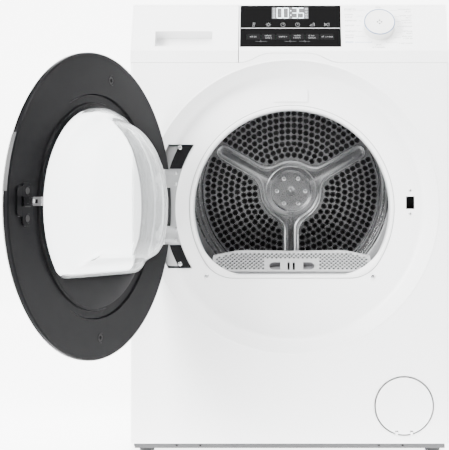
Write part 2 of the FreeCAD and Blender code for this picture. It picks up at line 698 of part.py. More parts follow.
fasciaSolid = prism("fascia_solid", "YZ_Plane", fasciaOutline("0"), "fasciaLeft", halfWidth)
soften(fasciaSolid, "2.5", isTopFront)
fasciaHollow = prism("fascia_hollow", "YZ_Plane", fasciaOutline("2.5"), "fasciaLeft + 1.2",
                     f"{halfWidth} - 2.5")
archGap = panelForm("arch_gap", "0.6", "frontY - 1", "frontY + frontReturn + 1")
windowHole = slopeBlock("window_hole", ("-93.4", "96.6"), ("-3", "8"), ("8.2", "102.7"))
knobHole = slopeRod("knob_hole", "4.05", "-3", "8", "knobX", "knobUp")
node("fascia", cut("fascia", fasciaSolid, fasciaHollow, archGap, windowHole, knobHole))

keySpots = [f"1.2 + ({i} - 2.5) * keyPitch" for i in range(6)]
keyHoles = [slopeBlock("key_hole", (f"{centre} - keyWidth / 2 - 0.3", f"{centre} + keyWidth / 2 + 0.3"),
                       ("-2", "4"), ("keyLow - 0.3", "keyLow + keyHeight + 0.3"))
            for centre in keySpots]
windowPlate = slopeBlock("window_plate", ("-93.2", "96.4"), ("-0.8", "2.2"), ("8.4", "102.5"))
node("display_window", cut("display_window", windowPlate, *keyHoles))
for i, centre in enumerate(keySpots, 1):
    cap = slopeBlock(f"key_cap_{i}", (f"{centre} - keyWidth / 2", f"{centre} + keyWidth / 2"),
                     ("-1.1", "6"), ("keyLow", "keyLow + keyHeight"))
    node(f"key_{i}", rounded(f"key_{i}", cap, "0.4", lambda e: e.Length < 14 and e.CenterOfMass.y < 0))
boardPlate = slopeBlock("board_plate", ("-88", "236"), ("14", "16"), ("6", "98"))
lcdBlock = slopeBlock("lcd_block", ("-34", "38"), ("3", "14.5"), ("66", "98"))
node("control_board", fuse("control_board", boardPlate, lcdBlock))

knob = turned("programme_knob", [
    ("0", "-20"), ("26.5", "-20"), ("28.4", "-4"), ("29", "-4"), ("29", "-0.6"), ("4", "-0.6"),
    ("4", "13.5"), ("0", "13.5")])
soften(knob, "1.6", ringEdge("26.5", "-20"))
layOnSlope(knob, "knobX", "0", "knobUp")
node("programme_knob", knob)

# water tank drawer

drawerSolid = prism("drawer_solid", "YZ_Plane", fasciaOutline("0"), f"-({halfWidth})", "drawerRight")
soften(drawerSolid, "2.5", isTopFront)
drawerHollow = prism("drawer_hollow", "YZ_Plane", fasciaOutline("2.5"), f"2.5 - {halfWidth}",
                     "drawerRight - 2.5")
gripOuter = slopeBlock("grip_outer", ("-255", "-143"), ("1", "26"), ("7", "46"))
gripSpace = slopeBlock("grip_space", ("-252.6", "-145.4"), ("-3", "24"), ("9.4", "43.6"))
gripShell = common("grip_inside", gripOuter, drawerSolid)
drawerFace = fuse("drawer_face", cut("drawer_open", drawerSolid, drawerHollow), gripShell)
drawerArchGap = panelForm("drawer_arch_gap", "0.6", "frontY - 1", "frontY + frontReturn + 1")
node("tank_drawer_front", cut("tank_drawer_front", drawerFace, gripSpace, drawerArchGap))


def tankOutline(inset):
    top = f"wallTop - 6 - ({inset})"
    return [(f"-287 + ({inset})", f"734 + ({inset})"), (f"-230 - ({inset}) * 0.1", f"734 + ({inset})"),
            (f"-106 - ({inset})", f"776 + ({inset})"), (f"-106 - ({inset})", top),
            (f"-287 + ({inset})", top)]


tankSolid = prism("tank_solid", "XZ_Plane", tankOutline("0"), "fasciaBackY", "190")
tankHollow = prism("tank_hollow", "XZ_Plane", tankOutline("2"), "fasciaBackY + 2", "188")
fillHole = rod("fill_hole", "Z", "16", "wallTop - 12", "wallTop", x="-150", y="150")
pourHole = rod("pour_hole", "Z", "14", "wallTop - 12", "wallTop", x="-258", y="-190")
node("water_tank", cut("water_tank", tankSolid, tankHollow, fillHole, pourHole))

# lint filter

filterFootZ = "mouthZ - mouthFlat + 6"


def tilted(name, x, thick, up):
    """A block leaning back at 45 degrees from the mouth's lower edge."""
    solid = block(name, x, thick, up)
    solid.Placement = FreeCAD.Placement(FreeCAD.Vector(), FreeCAD.Rotation(alongX, -45))
    return place(solid, x[0], f"frontY + dishDepth + 5 + ({thick[0]}) * 0.7071 + ({up[0]}) * 0.7071",
                 f"{filterFootZ} - ({thick[0]}) * 0.7071 + ({up[0]}) * 0.7071")


filterSlab = tilted("filter_slab", ("-150", "150"), ("-1", "1.5"), ("-4", "58"))
filterShape = mouthForm("filter_shape", "-7.2", "frontY + dishDepth + 1", "-200")
fingerHoles = [tilted("finger_hole", (f"doorX + ({x}) - 11", f"doorX + ({x}) + 11"), ("-4", "4"),
                      ("8", "26"))
               for x in ("-31", "31")]
node("filter_cover", cut("filter_cover", common("filter_sheet", filterSlab, filterShape), *fingerHoles))
cassette = block("cassette", ("-138", "138"), ("frontY + dishDepth + 7", "bulkheadY - 2.5"), ("222", "336"))
cassetteSpace = block("cassette_space", ("-136", "136"), ("frontY + dishDepth + 9", "bulkheadY - 4.5"),
                      ("224", "350"))
underCover = tilted("under_cover", ("-200", "200"), ("-90", "1.6"), ("-60", "90"))
node("filter_cassette", cut("filter_cassette", cassette, cassetteSpace, underCover))

# service flap

flapDisc = rod("flap_disc", "Y", "flapRadius", "frontY", "frontY + 3", x="flapX", z="flapZ")
flapPinZ = "flapZ - flapRadius + 2"
flapNotches = [block("flap_notch", (f"flapX + ({x}) - 3", f"flapX + ({x}) + 3"),
                     ("frontY - 1", "frontY + 4"),
                     ("flapZ - flapRadius - 3", "flapZ - flapRadius + 7")) for x in ("-14", "14")]
flapPin = rod("flap_pin", "X", "1.4", "flapX - 17", "flapX + 17", y="frontY + 1.5", z=flapPinZ)
node("service_flap", fuse("service_flap", cut("flap_plate", flapDisc, *flapNotches), flapPin))
socketTube = cut("socket_tube",
                 rod("socket_outer", "Y", "flapHoleRadius - 0.2", "frontY + 1.2", "frontY + 62", x="flapX",
                     z="flapZ"),
                 rod("socket_space", "Y", "flapHoleRadius - 2", "frontY + 1", "frontY + 60", x="flapX",
                     z="flapZ"))
socketEars = [cut("socket_ear",
                  block("ear_block", (f"flapX + ({x}) - 2", f"flapX + ({x}) + 2"), ("frontY", "frontY + 6"),
                        ("flapZ - flapHoleRadius + 2.6", f"{flapPinZ} + 2.4")),
                  rod("ear_bore", "X", "1.45", f"flapX + ({x}) - 3", f"flapX + ({x}) + 3", y="frontY + 1.5",
                      z=flapPinZ)) for x in ("-14", "14")]
node("service_socket", fuse("service_socket", socketTube, *socketEars))

# fittings in the door recess

dishFloorY = "frontY + dishDepth"
node("lamp_cover", block("lamp_cover", ("-30", "34"), (f"{dishFloorY} - 2.5", dishFloorY), ("659", "681")))
latchShell = block("latch_shell", ("doorX + 210", "doorX + 238"),
                   (f"{dishFloorY} + skin", f"{dishFloorY} + 26"),
                   ("doorZ - 14", "doorZ + 30"))
latchSpace = block("latch_space", ("doorX + 216", "doorX + 232"), (dishFloorY, f"{dishFloorY} + 22"),
                   ("doorZ - 4", "doorZ + 20"))
node("door_latch", cut("door_latch", latchShell, latchSpace))

hingePlate = block("hinge_back_plate", ("-240", "-180"),
                   (f"{dishFloorY} + skin", f"{dishFloorY} + skin + 2.5"),
                   ("mouthZ - 110", "mouthZ + 116"))


def hingeEar(level):
    """A gooseneck ear that reaches round the door's edge to the hinge pin."""
    low, high = f"doorZ + ({level}) - 2.5", f"doorZ + ({level}) + 2.5"
    neck = block("ear_neck", (doorHingeX, f"{doorHingeX} + 23.6"), ("hingeY - 5", "hingeY + 5"),
                 (low, high))
    leg = block("ear_leg", (f"{doorHingeX} + 18", f"{doorHingeX} + 23.6"),
                ("hingeY - 5", f"{dishFloorY} + skin"),
                (low, high))
    eye = rod("ear_eye", "Z", "6", low, high, x=doorHingeX, y="hingeY")
    bore = rod("ear_bore", "Z", "4.05", f"{low} - 1", f"{high} + 1", x=doorHingeX, y="hingeY")
    return cut("hinge_ear", fuse("ear_solid", neck, leg, eye), bore)


ears = [hingeEar(f"{hinge} + ({side})") for hinge in ("hingeSpread", "-hingeSpread") for side in (-10, 10)]
plateArc = rod("plate_arc", "Y", "mouthRadius + 1", f"{dishFloorY} + 1", f"{dishFloorY} + 6", x="doorX",
               z="mouthZ")
node("hinge_plate", cut("hinge_plate", fuse("hinge_whole", hingePlate, *ears), plateArc))


coverScrews = [("-207", "doorZ + 112"), ("-207", "doorZ - 108")]


def hingeCover(name, low, high, narrow):
    """A moulded cover that fills one end of the hinge window."""
    outer = block(name + "_block", ("-235", "-177"), (f"{dishFloorY} - 3", f"{dishFloorY} + skin - 0.2"),
                  (low, high))
    arc = rod(name + "_arc", "Y", "mouthRadius + 31", f"{dishFloorY} - 5", f"{dishFloorY} + 4", x="doorX",
              z="mouthZ")
    bores = [rod(name + "_bore", "Y", "shankRadius", f"{dishFloorY} - 5", f"{dishFloorY} + 4", x=x, z=z)
             for x, z in coverScrews]
    return cut(name, outer, arc, narrow, *bores)


dishWallGap = cut("dish_wall_gap",
                  rod("gap_outer", "Y", "340", f"{dishFloorY} - 6", f"{dishFloorY} + 5", x="doorX",
                      z="doorZ"),
                  rod("gap_inner", "Y", "dishFloorRadius - 9", f"{dishFloorY} - 7", f"{dishFloorY} + 6",
                      x="doorX",
                      z="doorZ"))
node("hinge_covers", group("hinge_covers",
                           hingeCover("upper_cover", "doorZ + 72", "mouthZ + 119", dishWallGap),
                           hingeCover("lower_cover", "mouthZ - 113", "doorZ - 72", dishWallGap)))


def screw(name, x, z, y, radius="4"):
    """A pan-head screw seen from the front: head, then shank."""
    head = rod(name + "_head", "Y", radius, f"({y}) - 2.4", y, x=x, z=z)
    shank = rod(name + "_shank", "Y", "shankRadius", y, f"({y}) + 1.6", x=x, z=z)
    return fuse(name, head, shank)


frontScrews = [screw("dish_screw", x, z, dishFloorY, radius) for x, z, radius in dishScrews]
frontScrews += [screw("hinge_screw", x, z, f"{dishFloorY} - 3") for x, z in coverScrews]
rearSpots = [(x, z) for x in ("-285", "285") for z in ("40", "250", "480", "700", "810")]
rearScrews = [rod("rear_screw", "Y", "4", "wallBackY + 1.5", "wallBackY + 4", x=x, z=z) for x, z in rearSpots]
node("panel_screws", group("panel_screws", *frontScrews, *rearScrews))

glandOuter = fuse("gland_outer",
                  block("gland_plate", ("196", "236"), ("wallBackY + 1.5", "wallBackY + 5"), ("60", "100")),
                  rod("gland_nose", "Y", "11", "wallBackY + 4", "wallBackY + 16", x="216", z="80"))
node("cord_gland", cut("cord_gland", glandOuter,
                       rod("gland_bore", "Y", "4.5", "wallBackY", "wallBackY + 17", x="216", z="80")))

# door, in door coordinates: the rim's inner face is Y = 0, the drum side is +Y


def hingePockets():
    """Room in the rim for the two hinges."""
    return [block("hinge_pocket", ("-275", "-200"), ("-12.5", "8"), (f"({side}) - 17", f"({side}) + 17"))
            for side in ("hingeSpread", "-hingeSpread")]


outerRing = turned("outer_ring_form", [
    ("172", "-6"), ("doorRadius", "-6"), ("doorRadius", "-9"), ("doorRadius - 7", "-doorThick"),
    ("172", "-doorThick")])
soften(outerRing, "3", ringEdge("doorRadius - 7", "-doorThick"))
node("door_outer_ring", onDoor(cut("door_outer_ring", outerRing, *hingePockets())))

innerRing = turned("inner_ring_form", [
    ("172", "-6"), ("doorRadius", "-6"), ("doorRadius", "-2"), ("doorRadius - 2", "0"), ("192", "0"),
    ("190", "-3.5"), ("178", "-3.5"), ("176.5", "0"), ("172", "0")])
bossPlate = block("boss_plate", ("207", "241"), ("-1", "3"), ("-16", "32"))
innerWhole = fuse("inner_ring_whole", innerRing,
                  rounded("boss_soft", bossPlate, "8", straightAlong(alongY)))
hookSeat = block("hook_seat", ("218", "230"), ("-4", "4"), ("0", "16"))
node("door_inner_ring", onDoor(cut("door_inner_ring", innerWhole, *hingePockets(), hookSeat)))

node("door_window", onDoor(turned("door_window", [
    ("0", "-26"), ("60", "-25"), ("120", "-21.6"), ("160", "-17.2"), ("171.6", "-15"), ("171.6", "-8"),
    ("168.6", "-8"), ("168.6", "-12.8"), ("158", "-14.4"), ("119", "-18.7"), ("60", "-22"), ("0", "-23")])))


def flatDisc(name, radius, flat, low, high):
    """A disc about the door's axis with a flat, round-cornered bottom."""
    disc = rod(name + "_disc", "Y", radius, low, high)
    below = block(name + "_below", ("-300", "300"), (f"({low}) - 1", f"({high}) + 1"),
                  ("-400", f"-({flat})"))
    return rounded(name, cut(name + "_flat", disc, below), "40", straightAlong(alongY))


def bowlForm(name, inset):
    """The glass bowl's form: a lip disc and a smaller nose, both flattened underneath."""
    lip = flatDisc(name + "_lip", f"glassRadius - ({inset})", f"glassFlat - ({inset})", "-5.8",
                   f"22 - ({inset})")
    nose = flatDisc(name + "_nose", f"glassRadius - 18 - ({inset})", f"glassFlat - 38 - ({inset})", "-5.8",
                    f"bowlDepth - ({inset})")
    return fuse(name, lip, nose)


node("door_bowl", onDoor(cut("door_bowl", bowlForm("bowl_outer", "0"), bowlForm("bowl_inner", "4"))))

hookStem = block("hook_stem", ("221", "227"), ("-4", "37"), ("1", "15"))
hookEye = block("hook_eye", ("220", "228"), ("22", "31"), ("5", "11"))
node("latch_hook", onDoor(cut("latch_hook", hookStem, hookEye)))


def hingeKnuckle(side):
    """The door half of a hinge: a knuckle on its pin, and a leaf screwed into the rim."""
    middle = f"({side})"
    pinY = "hingeY - rimY"
    knuckle = rod("knuckle", "Z", "5.4", f"{middle} - 7.2", f"{middle} + 7.2", x="-hingeReach", y=pinY)
    leaf = block("hinge_leaf", ("-hingeReach", "-203"), (f"{pinY} - 5.4", f"{pinY} - 1.4"),
                 (f"{middle} - 7.2", f"{middle} + 7.2"))
    pin = rod("hinge_pin", "Z", "4", f"{middle} - 13.5", f"{middle} + 13.5", x="-hingeReach", y=pinY)
    return fuse("hinge_knuckle", knuckle, leaf, pin)


node("hinge_arms", onDoor(group("hinge_arms", hingeKnuckle("hingeSpread"), hingeKnuckle("-hingeSpread"))))

# check everything and write the files

doc.recompute()
for item in doc.Objects:
    if "Invalid" in item.State or "Error" in item.State:
        raise RuntimeError(f"{item.Label} failed: {item.State}")
os.makedirs("parts", exist_ok=True)
for name, item in nodes.items():
    shape = item.Shape
    if shape.isNull() or not shape.isValid() or not shape.Solids:
        raise RuntimeError(f"{name} has no valid shape")
    shape.exportStep(f"parts/{name}.step")
    print(f"{name}: {len(shape.Solids)} solids, {shape.Volume / 1000:.1f} cm3")
print(len(nodes), "nodes")
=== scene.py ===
import json
import math
import random

import bmesh
import bpy
from mathutils import Matrix, Vector
from mathutils.geometry import delaunay_2d_cdt


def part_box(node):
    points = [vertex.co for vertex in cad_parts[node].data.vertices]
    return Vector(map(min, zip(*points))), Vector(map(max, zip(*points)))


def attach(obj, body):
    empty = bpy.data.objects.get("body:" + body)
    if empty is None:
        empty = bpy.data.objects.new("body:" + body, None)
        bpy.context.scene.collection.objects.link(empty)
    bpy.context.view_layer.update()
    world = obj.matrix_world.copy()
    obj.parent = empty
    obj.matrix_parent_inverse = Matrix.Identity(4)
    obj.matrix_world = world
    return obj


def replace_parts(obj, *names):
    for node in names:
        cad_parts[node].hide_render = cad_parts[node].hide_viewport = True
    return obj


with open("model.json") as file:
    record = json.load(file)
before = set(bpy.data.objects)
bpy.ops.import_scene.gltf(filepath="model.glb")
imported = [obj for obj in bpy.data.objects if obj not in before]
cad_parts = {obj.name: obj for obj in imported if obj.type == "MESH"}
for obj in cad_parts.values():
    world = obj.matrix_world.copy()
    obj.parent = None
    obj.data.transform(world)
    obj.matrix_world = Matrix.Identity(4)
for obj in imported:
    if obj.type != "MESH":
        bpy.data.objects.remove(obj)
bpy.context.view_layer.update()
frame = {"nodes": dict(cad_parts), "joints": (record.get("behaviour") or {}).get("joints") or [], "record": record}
nodes = frame["nodes"]
mm = 0.001
pi = math.pi
edgeAngle = math.radians(30)      # edges sharper than this get a soft radius
creaseAngle = math.radians(38)    # faces meeting flatter than this are shaded as one
print("stage: frame loaded")


# mesh helpers

def newPiece(name, verts, faces, body, slotName, finish=None, smooth=True):
    # without a finish of its own a piece takes the finish of its slot
    mesh = bpy.data.meshes.new(name)
    mesh.from_pydata([tuple(v) for v in verts], [], faces)
    mesh.validate()
    bm = bmesh.new()
    bm.from_mesh(mesh)
    bmesh.ops.remove_doubles(bm, verts=bm.verts, dist=1e-6)
    bmesh.ops.recalc_face_normals(bm, faces=bm.faces)
    bm.to_mesh(mesh)
    bm.free()
    piece = bpy.data.objects.new(name, mesh)
    bpy.context.scene.collection.objects.link(piece)
    mesh.materials.append(finish or finishes[slotName])
    if smooth:
        mesh.shade_smooth()
        mesh.set_sharp_from_angle(angle=creaseAngle)
    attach(piece, body)
    return piece


def softEdges(piece, width, segments=2):
    bevel = piece.modifiers.new("softEdges", "BEVEL")
    bevel.width = width
    bevel.segments = segments
    bevel.limit_method = "ANGLE"
    bevel.angle_limit = edgeAngle


def flatRadius(angle, radius, flat=None, corner=0.0):
    # distance from the middle to a circle that is cut flat underneath, with round corners
    if flat is None:
        return radius
    reach = math.sqrt(max((radius - corner) ** 2 - (flat - corner) ** 2, 0))
    dx, dz = abs(math.cos(angle)), math.sin(angle)
    start = math.atan2(-(flat - corner), reach)
    end = math.atan2(-flat, reach)
    below = math.atan2(dz, dx)
    if below > start:
        return radius
    if below < end:
        return flat / -dz
    dot = dx * reach - dz * (flat - corner)
    return dot + math.sqrt(max(dot * dot - (radius - corner) ** 2 + corner ** 2, 0))


def inMetres(rows):
    # rows of sizes in millimetres, as metres
    return [[n * mm for n in row] for row in rows]


def ringFaces(count, rings, closed=False):
    # quads between neighbouring rings of points, count points in each
    faces = []
    for k in range(rings if closed else rings - 1):
        a, b = k * count, (k + 1) % rings * count
        faces += [(a + i, a + (i + 1) % count, b + (i + 1) % count, b + i) for i in range(count)]
    return faces


def loftPiece(name, stations, body, slotName, segments=160, place=Matrix(), finish=None):
    # stations: (radius, depth) or (radius, depth, flat, corner), joined in order round the Y axis
    # and closed from the last to the first
    verts = []
    for radius, depth, *shape in stations:
        for i in range(segments):
            angle = 2 * pi * i / segments
            r = flatRadius(angle, radius, *shape)
            verts.append(place @ Vector((r * math.cos(angle), depth, r * math.sin(angle))))
    return newPiece(name, verts, ringFaces(segments, len(stations), True), body, slotName, finish)


def arcPoints(centre, radius, start, end, count):
    # points (across, along) on an arc, angles in degrees
    steps = [math.radians(start + (end - start) * i / count) for i in range(count + 1)]
    return [(centre[0] + radius * math.cos(a), centre[1] + radius * math.sin(a)) for a in steps]


def loopEdges(loops):
    # the points and edges of closed outlines, and where each outline starts
    points, edges, starts = [], [], []
    for loop in loops:
        first = len(points)
        starts.append(first)
        points += [Vector(p) for p in loop]
        edges.extend((first + i, first + (i + 1) % len(loop)) for i in range(len(loop)))
    return points, edges, starts


def slabPiece(name, outline, low, high, toWorld, body, slotName, finish=None, holes=()):
    # a flat plate from closed outlines; toWorld maps (u, v, depth) to a point
    points, edges, _ = loopEdges([outline, *holes])
    flat, _, tris, *_ = delaunay_2d_cdt(points, edges, [], 1, 1e-7)
    kept = []
    for tri in tris:
        middle = sum((flat[i] for i in tri), Vector((0, 0))) / len(tri)
        if insideLoop(middle, outline) and not any(insideLoop(middle, hole) for hole in holes):
            kept.append(tri)
    count = len(flat)
    verts = [toWorld(p.x, p.y, low) for p in flat] + [toWorld(p.x, p.y, high) for p in flat]
    faces = [tuple(tri) for tri in kept] + [tuple(count + i for i in reversed(tri)) for tri in kept]
    sides = {}
    for tri in kept:
        for i in range(len(tri)):
            edge = (tri[i], tri[(i + 1) % len(tri)])
            if edge[::-1] in sides:
                del sides[edge[::-1]]
            else:
                sides[edge] = True
    faces += [(a, a + count, b + count, b) for a, b in sides]
    return newPiece(name, verts, faces, body, slotName, finish, smooth=False)


def insideLoop(point, loop):
    inside = False
    for i in range(len(loop)):
        ax, ay = loop[i][0], loop[i][1]
        bx, by = loop[i - 1][0], loop[i - 1][1]
        if (ay > point[1]) != (by > point[1]) and point[0] < (bx - ax) * (point[1] - ay) / (by - ay) + ax:
            inside = not inside
    return inside


def roundedBox(x0, x1, y0, y1, corner, steps=5):
    outline = []
    for cx, cy, start in ((x1 - corner, y0 + corner, -90), (x1 - corner, y1 - corner, 0),
                          (x0 + corner, y1 - corner, 90), (x0 + corner, y0 + corner, 180)):
        outline += arcPoints((cx, cy), corner, start, start + 90, steps)
    return outline


def strokePiece(name, lines, width, toWorld, depth, body, slotName, finish):
    # thin raised lines: every stretch is a small box from depth[0] to depth[1]
    verts, faces = [], []
    for line in lines:
        for (ax, ay), (bx, by) in zip(line, line[1:]):
            run = Vector((bx - ax, by - ay))
            if run.length < 1e-9:
                continue
            run.normalize()
            across = Vector((-run.y, run.x)) * width / 2
            along = run * width / 2
            a, b = Vector((ax, ay)) - along, Vector((bx, by)) + along
            first = len(verts)
            for level in depth:
                for corner in (a - across, b - across, b + across, a + across):
                    verts.append(toWorld(corner.x, corner.y, level))
            faces += [tuple(first + i for i in face) for face in
                      ((0, 1, 2, 3), (7, 6, 5, 4), (0, 4, 5, 1), (1, 5, 6, 2), (2, 6, 7, 3), (3, 7, 4, 0))]
    return newPiece(name, verts, faces, body, slotName, finish, smooth=False)


def ringLine(cx, cy, radius, start=0, end=360, steps=24):
    return arcPoints((cx, cy), radius, start, end, steps)


def joined(name, *parts):
    # one piece from several that ride on the same body
    first = parts[0]
    bm = bmesh.new()
    for part in parts:
        bm.from_mesh(part.data)
    bm.to_mesh(first.data)
    bm.free()
    for other in parts[1:]:
        bpy.data.objects.remove(other)
    first.name = name
    return first


# finishes

def surface(name, colour, roughness, metallic=0.0, mottle=0.03, mottleScale=8.0, grain=0.0, grainScale=900.0,
            stretch=(1, 1, 1), roughSpread=0.06, sheen=0.5):
    finish = bpy.data.materials.new(name)
    finish.use_nodes = True
    tree = finish.node_tree
    shader = tree.nodes["Principled BSDF"]
    link = tree.links.new
    coords = tree.nodes.new("ShaderNodeTexCoord")
    mapping = tree.nodes.new("ShaderNodeMapping")
    mapping.inputs["Scale"].default_value = stretch
    link(coords.outputs["Object"], mapping.inputs["Vector"])
    broad = tree.nodes.new("ShaderNodeTexNoise")
    broad.inputs["Scale"].default_value = mottleScale
    broad.inputs["Detail"].default_value = 4
    link(mapping.outputs["Vector"], broad.inputs["Vector"])
    tint = tree.nodes.new("ShaderNodeMix")
    tint.data_type = "RGBA"    # its two colours are sockets 6 and 7, its colour result is socket 2
    tint.inputs[6].default_value = (*[min(c * (1 - mottle), 1) for c in colour], 1)
    tint.inputs[7].default_value = (*[min(c * (1 + mottle), 1) for c in colour], 1)
    link(broad.outputs["Fac"], tint.inputs[0])
    link(tint.outputs[2], shader.inputs["Base Color"])
    fine = tree.nodes.new("ShaderNodeTexNoise")
    fine.inputs["Scale"].default_value = grainScale
    fine.inputs["Detail"].default_value = 3
    link(mapping.outputs["Vector"], fine.inputs["Vector"])
    spread = tree.nodes.new("ShaderNodeMapRange")
    spread.inputs["To Min"].default_value = max(roughness - roughSpread, 0.02)
    spread.inputs["To Max"].default_value = roughness + roughSpread
    link(fine.outputs["Fac"], spread.inputs["Value"])
    link(spread.outputs["Result"], shader.inputs["Roughness"])
    if grain:
        bump = tree.nodes.new("ShaderNodeBump")
        bump.inputs["Strength"].default_value = grain
        bump.inputs["Distance"].default_value = 0.0004
        link(fine.outputs["Fac"], bump.inputs["Height"])
        link(bump.outputs["Normal"], shader.inputs["Normal"])
    shader.inputs["Metallic"].default_value = metallic
    shader.inputs["Specular IOR Level"].default_value = sheen
    return finish


def clearGlass(name, colour, roughness, ripple, clear=1.0):
    finish = surface(name, colour, roughness, mottle=0.01, grain=ripple, grainScale=22, roughSpread=0.012)
    shader = finish.node_tree.nodes["Principled BSDF"]
    shader.inputs["Transmission Weight"].default_value = clear
    shader.inputs["IOR"].default_value = 1.18
    return finish


def glowing(name, colour, strength):
    finish = surface(name, colour, 0.5, mottle=0.05, mottleScale=300)
    shader = finish.node_tree.nodes["Principled BSDF"]
    shader.inputs["Emission Color"].default_value = (*colour, 1)
    shader.inputs["Emission Strength"].default_value = strength
    return finish


finishes = {
    "white_enamel": surface("whiteEnamel", (0.86, 0.862, 0.865), 0.34, mottle=0.006, grain=0.05,
                            grainScale=500),
    "white_plastic": surface("whitePlastic", (0.86, 0.862, 0.865), 0.36, mottle=0.006, grain=0.05,
                             grainScale=1400),
    "white_laminate": surface("whiteLaminate", (0.85, 0.85, 0.85), 0.45, mottle=0.012, grain=0.25,
                              grainScale=700),
    "rear_steel": surface("galvanisedSteel", (0.55, 0.56, 0.57), 0.42, metallic=0.9, mottle=0.12,
                          mottleScale=45, grain=0.1, grainScale=300, roughSpread=0.1),
    "base_grey": surface("baseGrey", (0.05, 0.05, 0.052), 0.55, grain=0.3, grainScale=1800),
    "bulkhead_grey": surface("bulkheadGrey", (0.6, 0.61, 0.62), 0.42, grain=0.15, grainScale=1500),
    "filter_grey": surface("filterGrey", (0.3, 0.303, 0.307), 0.5, grain=0.2, grainScale=1500),
    # darker than the steel of the drum's wall: painted shade on the drum's back
    "drum_steel": surface("drumSteelShaded", (0.3, 0.302, 0.305), 0.26, metallic=1.0, mottle=0.06, mottleScale=10,
                          grain=0.006, grainScale=160, roughSpread=0.04),
    "lifter_grey": surface("lifterGrey", (0.6, 0.6, 0.62), 0.4, grain=0.1, grainScale=1500),
    "machine_steel": surface("machineSteel", (0.32, 0.322, 0.325), 0.28, metallic=1.0, grain=0.02,
                             grainScale=500),
    "screw_steel": surface("screwSteel", (0.66, 0.66, 0.67), 0.24, metallic=1.0, grain=0.05),
    "hinge_steel": surface("hingeSteel", (0.56, 0.565, 0.57), 0.34, metallic=1.0, grain=0.1, grainScale=700),
    "hook_chrome": surface("hookChrome", (0.72, 0.72, 0.73), 0.1, metallic=1.0, roughSpread=0.02),
    "felt": surface("pressedFelt", (0.62, 0.6, 0.56), 0.95, mottle=0.15, mottleScale=400, grain=0.9,
                    grainScale=1200),
    "seal_rubber": surface("sealRubber", (0.8, 0.8, 0.8), 0.4, grain=0.15, grainScale=1200),
    "foot_rubber": surface("footRubber", (0.035, 0.035, 0.036), 0.7, grain=0.4, grainScale=1500),
    "belt_rubber": surface("beltRubber", (0.02, 0.02, 0.02), 0.65, grain=0.4, grainScale=1800),
    "roller_tyre": surface("rollerTyre", (0.05, 0.05, 0.05), 0.6, grain=0.3, grainScale=1500),
    "motor_paint": surface("motorPaint", (0.09, 0.095, 0.1), 0.45, grain=0.15, grainScale=700),
    "compressor_paint": surface("compressorPaint", (0.012, 0.012, 0.012), 0.35, grain=0.12, grainScale=500),
    "fan_plastic": surface("fanPlastic", (0.12, 0.12, 0.125), 0.5, grain=0.2, grainScale=1500),
    "duct_plastic": surface("ductPlastic", (0.1, 0.1, 0.105), 0.5, grain=0.2, grainScale=1500),
    "fin_aluminium": surface("finAluminium", (0.75, 0.755, 0.76), 0.3, metallic=1.0, grain=0.8,
                             grainScale=250, stretch=(9, 1, 1)),
    "pipe_copper": surface("pipeCopper", (0.72, 0.36, 0.22), 0.28, metallic=1.0, mottle=0.12, mottleScale=60),
    "pump_plastic": surface("pumpPlastic", (0.35, 0.35, 0.36), 0.5, grain=0.2, grainScale=1500),
    "board_green": surface("boardGreen", (0.02, 0.13, 0.06), 0.4, mottle=0.2, mottleScale=120),
    "display_black": surface("displayBlack", (0.0012, 0.0012, 0.0013), 0.16, mottle=0.1, roughSpread=0.02,
                             sheen=0.01),
    "key_black": surface("keyBlack", (0.003, 0.003, 0.0032), 0.24, mottle=0.1, roughSpread=0.03, sheen=0.02),
    "knob_grey": surface("knobGrey", (0.74, 0.735, 0.72), 0.4, mottle=0.01, grain=0.08, grainScale=1500),
    "latch_black": surface("latchBlack", (0.005, 0.005, 0.0055), 0.42, grain=0.2, grainScale=1600,
                           sheen=0.08),
    "door_black": surface("doorBlack", (0.0026, 0.0026, 0.003), 0.2, mottle=0.06, grain=0.03, grainScale=1500,
                          roughSpread=0.03, sheen=0.07),
    "door_inner_black": surface("doorInnerBlack", (0.004, 0.004, 0.0045), 0.33, mottle=0.06, grain=0.08,
                                grainScale=1700, sheen=0.05),
    "window_glass": clearGlass("windowGlass", (0.97, 0.98, 0.98), 0.02, 0.0),
    "bowl_glass": clearGlass("bowlGlass", (0.95, 0.965, 0.97), 0.02, 0.25, clear=0.86),
    "tank_clear": surface("tankMilky", (0.66, 0.68, 0.7), 0.35, grain=0.08, grainScale=1200),
}
inkGrey = surface("printGrey", (0.05, 0.05, 0.055), 0.5, mottle=0.1, mottleScale=900)
inkPale = surface("printPale", (0.16, 0.16, 0.165), 0.5, mottle=0.1, mottleScale=900)
inkBlue = surface("printBlue", (0.02, 0.12, 0.34), 0.5, mottle=0.1, mottleScale=900)
knobRingBlue = surface("knobRingBlue", (0.03, 0.1, 0.24), 0.3, metallic=0.3, mottle=0.05)
gripGrey = surface("gripGrey", (0.035, 0.035, 0.036), 0.4, sheen=0.2, grain=0.1, grainScale=1500)
lineSilver = surface("lineSilver", (0.2, 0.2, 0.21), 0.25, metallic=0.9, mottle=0.08)
lcdGlow = glowing("lcdGlow", (0.8, 0.9, 0.95), 1.1)
lcdFace = surface("lcdFace", (0.06, 0.062, 0.065), 0.4, mottle=0.1, mottleScale=200, sheen=0.2)
lcdUnlit = surface("lcdUnlit", (0.04, 0.041, 0.043), 0.4, mottle=0.1, mottleScale=200, sheen=0.2)
lcdDim = glowing("lcdDim", (0.45, 0.47, 0.5), 0.35)
# near black for the insides of holes and the space behind plates: painted shade
paintedHoleShade = surface("paintedHoleShade", (0.012, 0.012, 0.012), 0.9, mottle=0.2)

slotOf = {s["node"]: s["material_slot"] for s in frame["record"]["subparts"]}
for nodeName, node in nodes.items():
    node.data.materials.clear()
    node.data.materials.append(finishes[slotOf[nodeName]])
